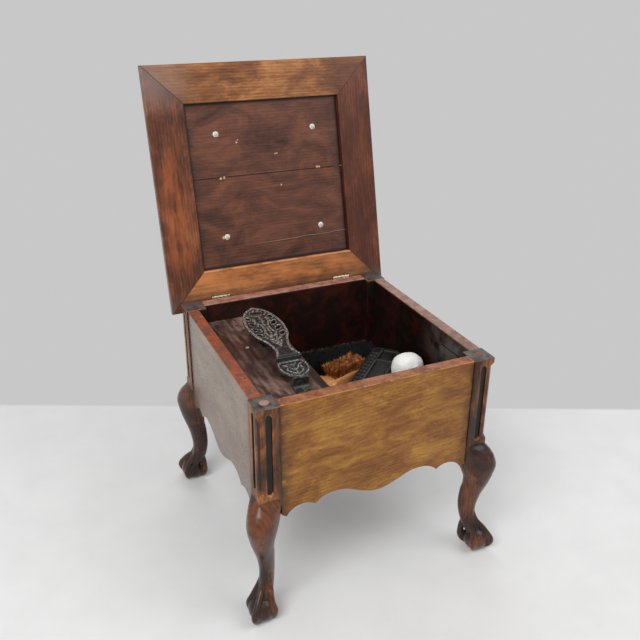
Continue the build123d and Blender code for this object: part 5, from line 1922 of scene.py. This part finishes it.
    def iron(self) -> Finish:
        """Old black enamel, rubbed to grey iron along its raised lines."""
        graph = Graph("black_iron")
        patches = graph.cloud(graph.coords, 160.0, 5.0, 0.65)
        colour = graph.shades(patches, ((0.3, (26, 25, 24)), (0.7, (68, 68, 67))))
        rubbed = graph.add("ShaderNodeAttribute", attribute_name="rubbed").outputs["Fac"]
        lines = graph.times(graph.step(rubbed, 0.50, 1.0), graph.patchy(300.0, 0.40, 0.60, 4.0, 0.7))
        colour = graph.over(colour, lines, (206, 204, 198))
        edges = graph.times(graph.crests(0.52, 0.60), graph.step(patches, 0.35, 0.6))
        colour = graph.over(colour, edges, (172, 172, 168), 0.55)
        colour = graph.over(colour, graph.step(graph.hollows(0.004), 0.30, 0.85), (16, 13, 12))
        pits = graph.cloud(graph.coords, 700.0, 3.0, 0.6)
        return graph.done(
            colour, graph.sums("ADD", graph.times(patches, 0.25), 0.14),
            graph.bump(pits, 0.3, 0.0004), Metallic=0.5, Coat_Weight=0.4, Coat_Roughness=0.2,
        )


# -------- brushes and buffer
def tool_place(from_right: float, y: float, turn: float) -> Place:
    """Where a loose tool stands on the bottom of the box, X along it, Z from its underside."""
    gap, bottom = 1.5, 218.3  # from the wall, and the height of the bottom boards' top
    return CASE.moved(INNER_FACE / MM - gap - from_right, y, bottom, turn)


def bristle_finish(
    name: str, dark: Colour, pale: Colour, place: Place, tips: float, dust: Colour, edge: float = -1.0,
) -> Finish:
    """Stiff hair whose colour changes from tuft to tuft, with paler tips.

    Args:
        name: The finish's name.
        dark: The darkest hair.
        pale: The palest.
        place: The brush's own axes.
        tips: Height of the hairs' ends, in metres.
        dust: The colour of the paler tips; on the long brush it is a painted highlight along the far edge.
        edge: Where along Y the paler tips start, in metres.

    Returns:
        The material.
    """
    graph = Graph(name, place)
    hairs = graph.turned(graph.coords, (0, 0, 0), (0, 0, 0), (1200.0, 1200.0, 120.0))
    strands = graph.times(graph.cloud(hairs, 1.0, 3.0), 0.5)
    tufts = graph.cloud(graph.coords, 110.0, 3.0)
    tone = graph.sums("ADD", strands, graph.times(tufts, 0.5))
    colour = graph.shades(tone, ((0.38, dark), (0.62, pale)))
    _, y, z = graph.heights()
    ends = graph.step(graph.size(graph.sums("SUBTRACT", z, tips)), 0.006, 0.001)
    ends = graph.times(ends, graph.step(tufts, 0.4, 0.6), graph.step(y, edge, edge + 0.005))
    return graph.done(graph.over(colour, ends, dust), 0.6)


@dataclass
class Brush:
    """A brush with a wooden back and rows of bristle, on its back or on its bristles."""

    place: Place
    body: str
    long: float
    wide: float
    corner: float
    face: float  # height of the bristles' root
    tip: float  # height of the bristles' end
    rows: int
    columns: int
    hair: float  # radius of one hair at its root
    flare: float  # how far the outer hairs lean out
    seed: int
    start: float = 0.0  # where along X the bristles start
    end: float = 0.0  # and where they end, or 0 for the whole back
    tuft: int = 1  # hairs in a lock

    def locks(self, form: Form, inside: Callable[[float, float], bool]) -> None:
        """Plants the locks of hair.

        Args:
            form: The mesh that takes them.
            inside: Whether a place on the back takes a lock.
        """
        draw = random.Random(self.seed)
        single = self.tuft == 1
        spread, wander, width = (0.28, 0.0, 0.0) if single else (0.05, 1.3, 0.75)

        def astray(size: float) -> Vector:
            """A random step across the brush."""
            return Vector((draw.gauss(0, size), draw.gauss(0, size), 0))

        start, end = (self.start, self.end) if self.end else (-self.long / 2, self.long / 2)
        run, depth = end - start, self.wide
        rise = self.tip - self.face
        for row in range(self.rows):
            for column in range(self.columns):
                x = start + run * (row + 0.5 + draw.uniform(-spread, spread)) / self.rows
                y = depth * ((column + 0.5 + draw.uniform(-spread, spread)) / self.columns - 0.5)
                if not inside(x, y):
                    continue
                side = Vector(((x - (start + end) / 2) / run * 2, y / depth * 2, 0))
                sway = astray(1) * wander
                for _ in range(self.tuft):
                    root = astray(1) * width
                    lean = side * self.flare + astray(0.9) + root * 0.8 + sway
                    reach = rise * draw.uniform(0.9, 1.0)
                    hair = Vector((lean.x, lean.y, reach))
                    tilt = hair.to_track_quat("Z", "Y").to_matrix().to_4x4()
                    middle = Vector((x, y, self.face)) + root + hair / 2
                    size = self.hair * draw.uniform(0.8, 1.15)
                    bmesh.ops.create_cone(
                        form.mesh, cap_ends=True, segments=4, radius1=size * 0.8, radius2=size * 0.35,
                        depth=reach, matrix=Matrix.Translation(middle) @ tilt,
                    )

    def rounded(self, inset: float) -> Callable[[float, float], bool]:
        """A test for a rounded oblong that is inset from the back's edge."""
        half_x, half_y = self.long / 2 - inset, self.wide / 2 - inset
        corner = max(self.corner - inset, 0.1)

        def inside(x: float, y: float) -> bool:
            """Whether a place lies within the oblong."""
            over_x, over_y = max(abs(x) - half_x + corner, 0), max(abs(y) - half_y + corner, 0)
            return math.hypot(over_x, over_y) <= corner and abs(x) <= half_x and abs(y) <= half_y

        return inside

    def outline(self) -> list[tuple[float, float]]:
        """The back's rounded oblong, as a loop of points."""
        points = []
        steps = 6
        half_x, half_y = self.long / 2 - self.corner, self.wide / 2 - self.corner
        for turn, (side_x, side_y) in enumerate(((1, 1), (-1, 1), (-1, -1), (1, -1))):
            for step in range(steps + 1):
                angle = math.pi / 2 * (turn + step / steps)
                across = side_x * half_x + self.corner * math.cos(angle)
                points.append((across, side_y * half_y + self.corner * math.sin(angle)))
        return points

    def hairs(
        self, name: str, node: str, slot: str, material: Finish,
        inside: Callable[[float, float], bool],
    ) -> None:
        """Makes the bristles.

        Args:
            name: The piece's name.
            node: The plain part that it replaces.
            slot: Its finish's slot.
            material: Its finish.
            inside: Whether a place on the back takes a lock.
        """
        form = Form()
        self.locks(form, inside)
        settle(form.part(name), self.place, self.body, slot, material, node, smooth=False)


def lacquer() -> Finish:
    """Black lacquer, scuffed grey along its edges."""
    graph = Graph("black_lacquer")
    scuffs = graph.cloud(graph.coords, 90.0, 6.0, 0.7)
    colour = graph.shades(scuffs, ((0.4, (10, 10, 10)), (0.75, (30, 30, 31))))
    edges = graph.times(graph.crests(0.503, 0.535), graph.step(scuffs, 0.3, 0.5))
    colour = graph.over(colour, edges, (92, 92, 90), 0.8)
    rough = graph.sums("ADD", graph.times(scuffs, 0.4), 0.14)
    return graph.done(colour, rough, graph.bump(scuffs, 0.15, 0.0006), IOR=1.4)


@dataclass
class Tools:
    """The loose brushes and the wool buffer."""

    def long_brush(self) -> None:
        """A long black brush, lying on its back."""
        brush = Brush(
            tool_place(120.0, 85.0, 0.0), "long_brush", long=173.0, wide=48.0, corner=20.0, face=16.0,
            tip=49.6, rows=96, columns=26, hair=1.15, flare=1.8, seed=11,
        )
        back = plate("long_brush_stock", [brush.outline()], 0.0, brush.face, 2.5, sharp=True)
        settle(back, brush.place, "long_brush", "black_lacquer", lacquer(), "long_brush_back")
        # the grey tips along the far edge are a painted highlight
        hair = bristle_finish(
            "black_bristle", (12, 12, 12), (46, 46, 46), brush.place, brush.tip * MM, (120, 118, 112), 0.015,
        )
        brush.hairs("long_brush_hair", "long_brush_bristles", "black_bristle", hair, brush.rounded(3.5))

    def carved_back(self, point: Vector, normal: Vector) -> Vector:
        """Shapes the black brush's back: a ribbed grip along one side, and two sunk panels.

        Args:
            point: A point of the plain back.
            normal: The way its surface faces.

        Returns:
            Its shift.
        """
        if normal.z < 0.5:
            return Vector()
        x, y = point.x, point.y
        across = 36.0  # where the short bead crosses
        beads = math.exp(-(((y - 8.5) / 1.3) ** 2))
        beads += math.exp(-(((x - across) / 1.3) ** 2)) * ease(8.0 - y, 0.0, 2.0)
        side = ease(y, 10.5, 12.0) * ease(22.5 - y, 0.0, 2.0) * ease(66.0 - abs(x), 0.0, 4.0)
        ribs = side * (0.5 + 0.5 * math.cos(x * math.tau / 11.5))
        panel = ease(6.5 - y, 0.0, 1.6) * ease(y + 20.0, 0.0, 1.6) * ease(74.0 - abs(x), 0.0, 1.6)
        panel *= ease(abs(x - across), 3.0, 4.6)
        return Vector((0, 0, 1.0 * min(beads, 1.0) + 1.4 * ribs - 1.6 * panel - 1.4))

    def black_brush(self) -> None:
        """A black brush, standing on its bristles."""
        brush = Brush(
            tool_place(90.5, -22.0, 45.0), "black_brush", long=164.0, wide=50.0, corner=13.0, face=41.7,
            tip=0.0, rows=88, columns=27, hair=1.2, flare=1.8, seed=12,
        )
        plain = plate("black_brush_stock", [brush.outline()], brush.face, brush.face + 20.0, 2.5, sharp=True)
        back = fused(plain, 1.0, 2)
        reshape(back, self.carved_back)
        settle(back, brush.place, "black_brush", "black_lacquer", lacquer(), "black_brush_back")
        hair = bristle_finish(
            "black_bristle_short", (12, 12, 12), (44, 44, 44), brush.place, brush.tip * MM, (80, 78, 74),
        )
        brush.hairs("black_brush_hair", "black_brush_bristles", "black_bristle", hair, brush.rounded(3.5))

    def brown_brush(self) -> None:
        """A small brown brush with a lobed wooden back."""
        brush = Brush(
            tool_place(167.0, 17.0, 19.0), "brown_brush", long=86.0, wide=28.0, corner=3.0, face=36.0,
            tip=57.2, rows=13, columns=4, hair=0.45, flare=5.0, seed=13, start=16.0, end=83.0, tuft=24,
        )
        # painted light: this beech is far paler than the buffer's, standing for light on a back that lies in
        # the box's shade
        beech = Timber(
            "beech", (214, 128, 66), (244, 170, 104), (253, 216, 160), rough=0.32, coat=0.4, pore=0.15,
            figure=0.1, nook=0.003,
        )
        outline = [
            (86.0, -14.0, 1), (86.0, 14.0, 1), (19.0, 14.0, 1), (17.0, 12.5), (12.0, 18.2), (3.0, 17.5),
            (-1.5, 10.0), (1.0, 2.5), (-2.6, -7.0), (0.5, -18.0), (9.5, -21.8), (18.0, -18.0),
            (20.5, -13.0), (24.0, -14.0, 1),
        ]
        back = plate("brown_brush_stock", [outline], 0.0, brush.face, 4.6)
        settle(back, brush.place, "brown_brush", "beech", beech.build(brush.place), "brown_brush_back")
        hair = bristle_finish(
            "brown_bristle", (84, 38, 14), (206, 122, 58), brush.place, brush.tip * MM, (232, 166, 98),
        )
        brush.hairs(
            "brown_brush_hair", "brown_brush_bristles", "brown_bristle", hair, lambda _, y: abs(y) < 12.0,
        )

    def buffer(self) -> None:
        """A lambswool buffer on a block of beech."""
        place = tool_place(43.0, -49.0, 0.0)
        half_x, half_y, straight, crown = 26.6, 21.4, 69.7, 20.8  # the fleece's sizes
        sides, foot, power = 0.55, 0.06, 2.3  # shares of the steps, and how square it is

        def shape(along: float, around: float) -> Vector:
            """A point of the fleece."""
            cos, sin = math.cos(around * math.tau), math.sin(around * math.tau)
            lean = max(along - sides, 0.0) / (1 - sides) * math.pi / 2
            level = 1.2 + straight * min(along / sides, 1.0) + crown * math.sin(lean)
            width = max(math.cos(lean), 0.0) ** 0.7
            if along < foot:
                width *= math.sqrt(along / foot)
            reach = (abs(cos) ** power + abs(sin) ** power) ** (-1 / power) * width
            point = Vector((half_x * reach * cos, half_y * reach * sin, level))
            curl = noise.noise(point * 0.09) * 1.6 + noise.noise(point * 0.4) * 0.7
            return point + Vector((cos, sin, 0.3)) * curl * width * 0.8

        form = Form()
        form.skin(110, 120, shape)
        graph = Graph("white_wool")
        curls = graph.cloud(graph.coords, 420.0, 4.0, 0.65)
        colour = graph.shades(curls, ((0.3, (248, 247, 241)), (0.55, (255, 255, 252))))
        wool = graph.done(colour, 0.9, graph.bump(curls, 0.3, 0.0008), IOR=1.2)
        settle(form.part("buffer_fleece"), place, "buffer", "white_wool", wool, "buffer_wool")
        beech = Timber(
            "buffer_beech", (150, 96, 50), (198, 140, 82), (226, 176, 116), rough=0.4, coat=0.2,
            grain=Grain.ALONG_Z,
        )
        dress(beech.build(CASE), "buffer_block")

    def build(self) -> None:
        """Makes the tools."""
        self.long_brush()
        self.black_brush()
        self.brown_brush()
        self.buffer()


def main() -> None:
    """Builds the studio and the box, one sub-assembly after another."""
    logging.basicConfig(level=logging.INFO, format="%(name)s: %(message)s")
    for part in (Studio(), Case(), Lid(), Hardware(), Seat(), FootRest(), Tools()):
        part.build()
        LOG.info("%s is done", type(part).__name__)


if __name__ == "__main__":
    main()
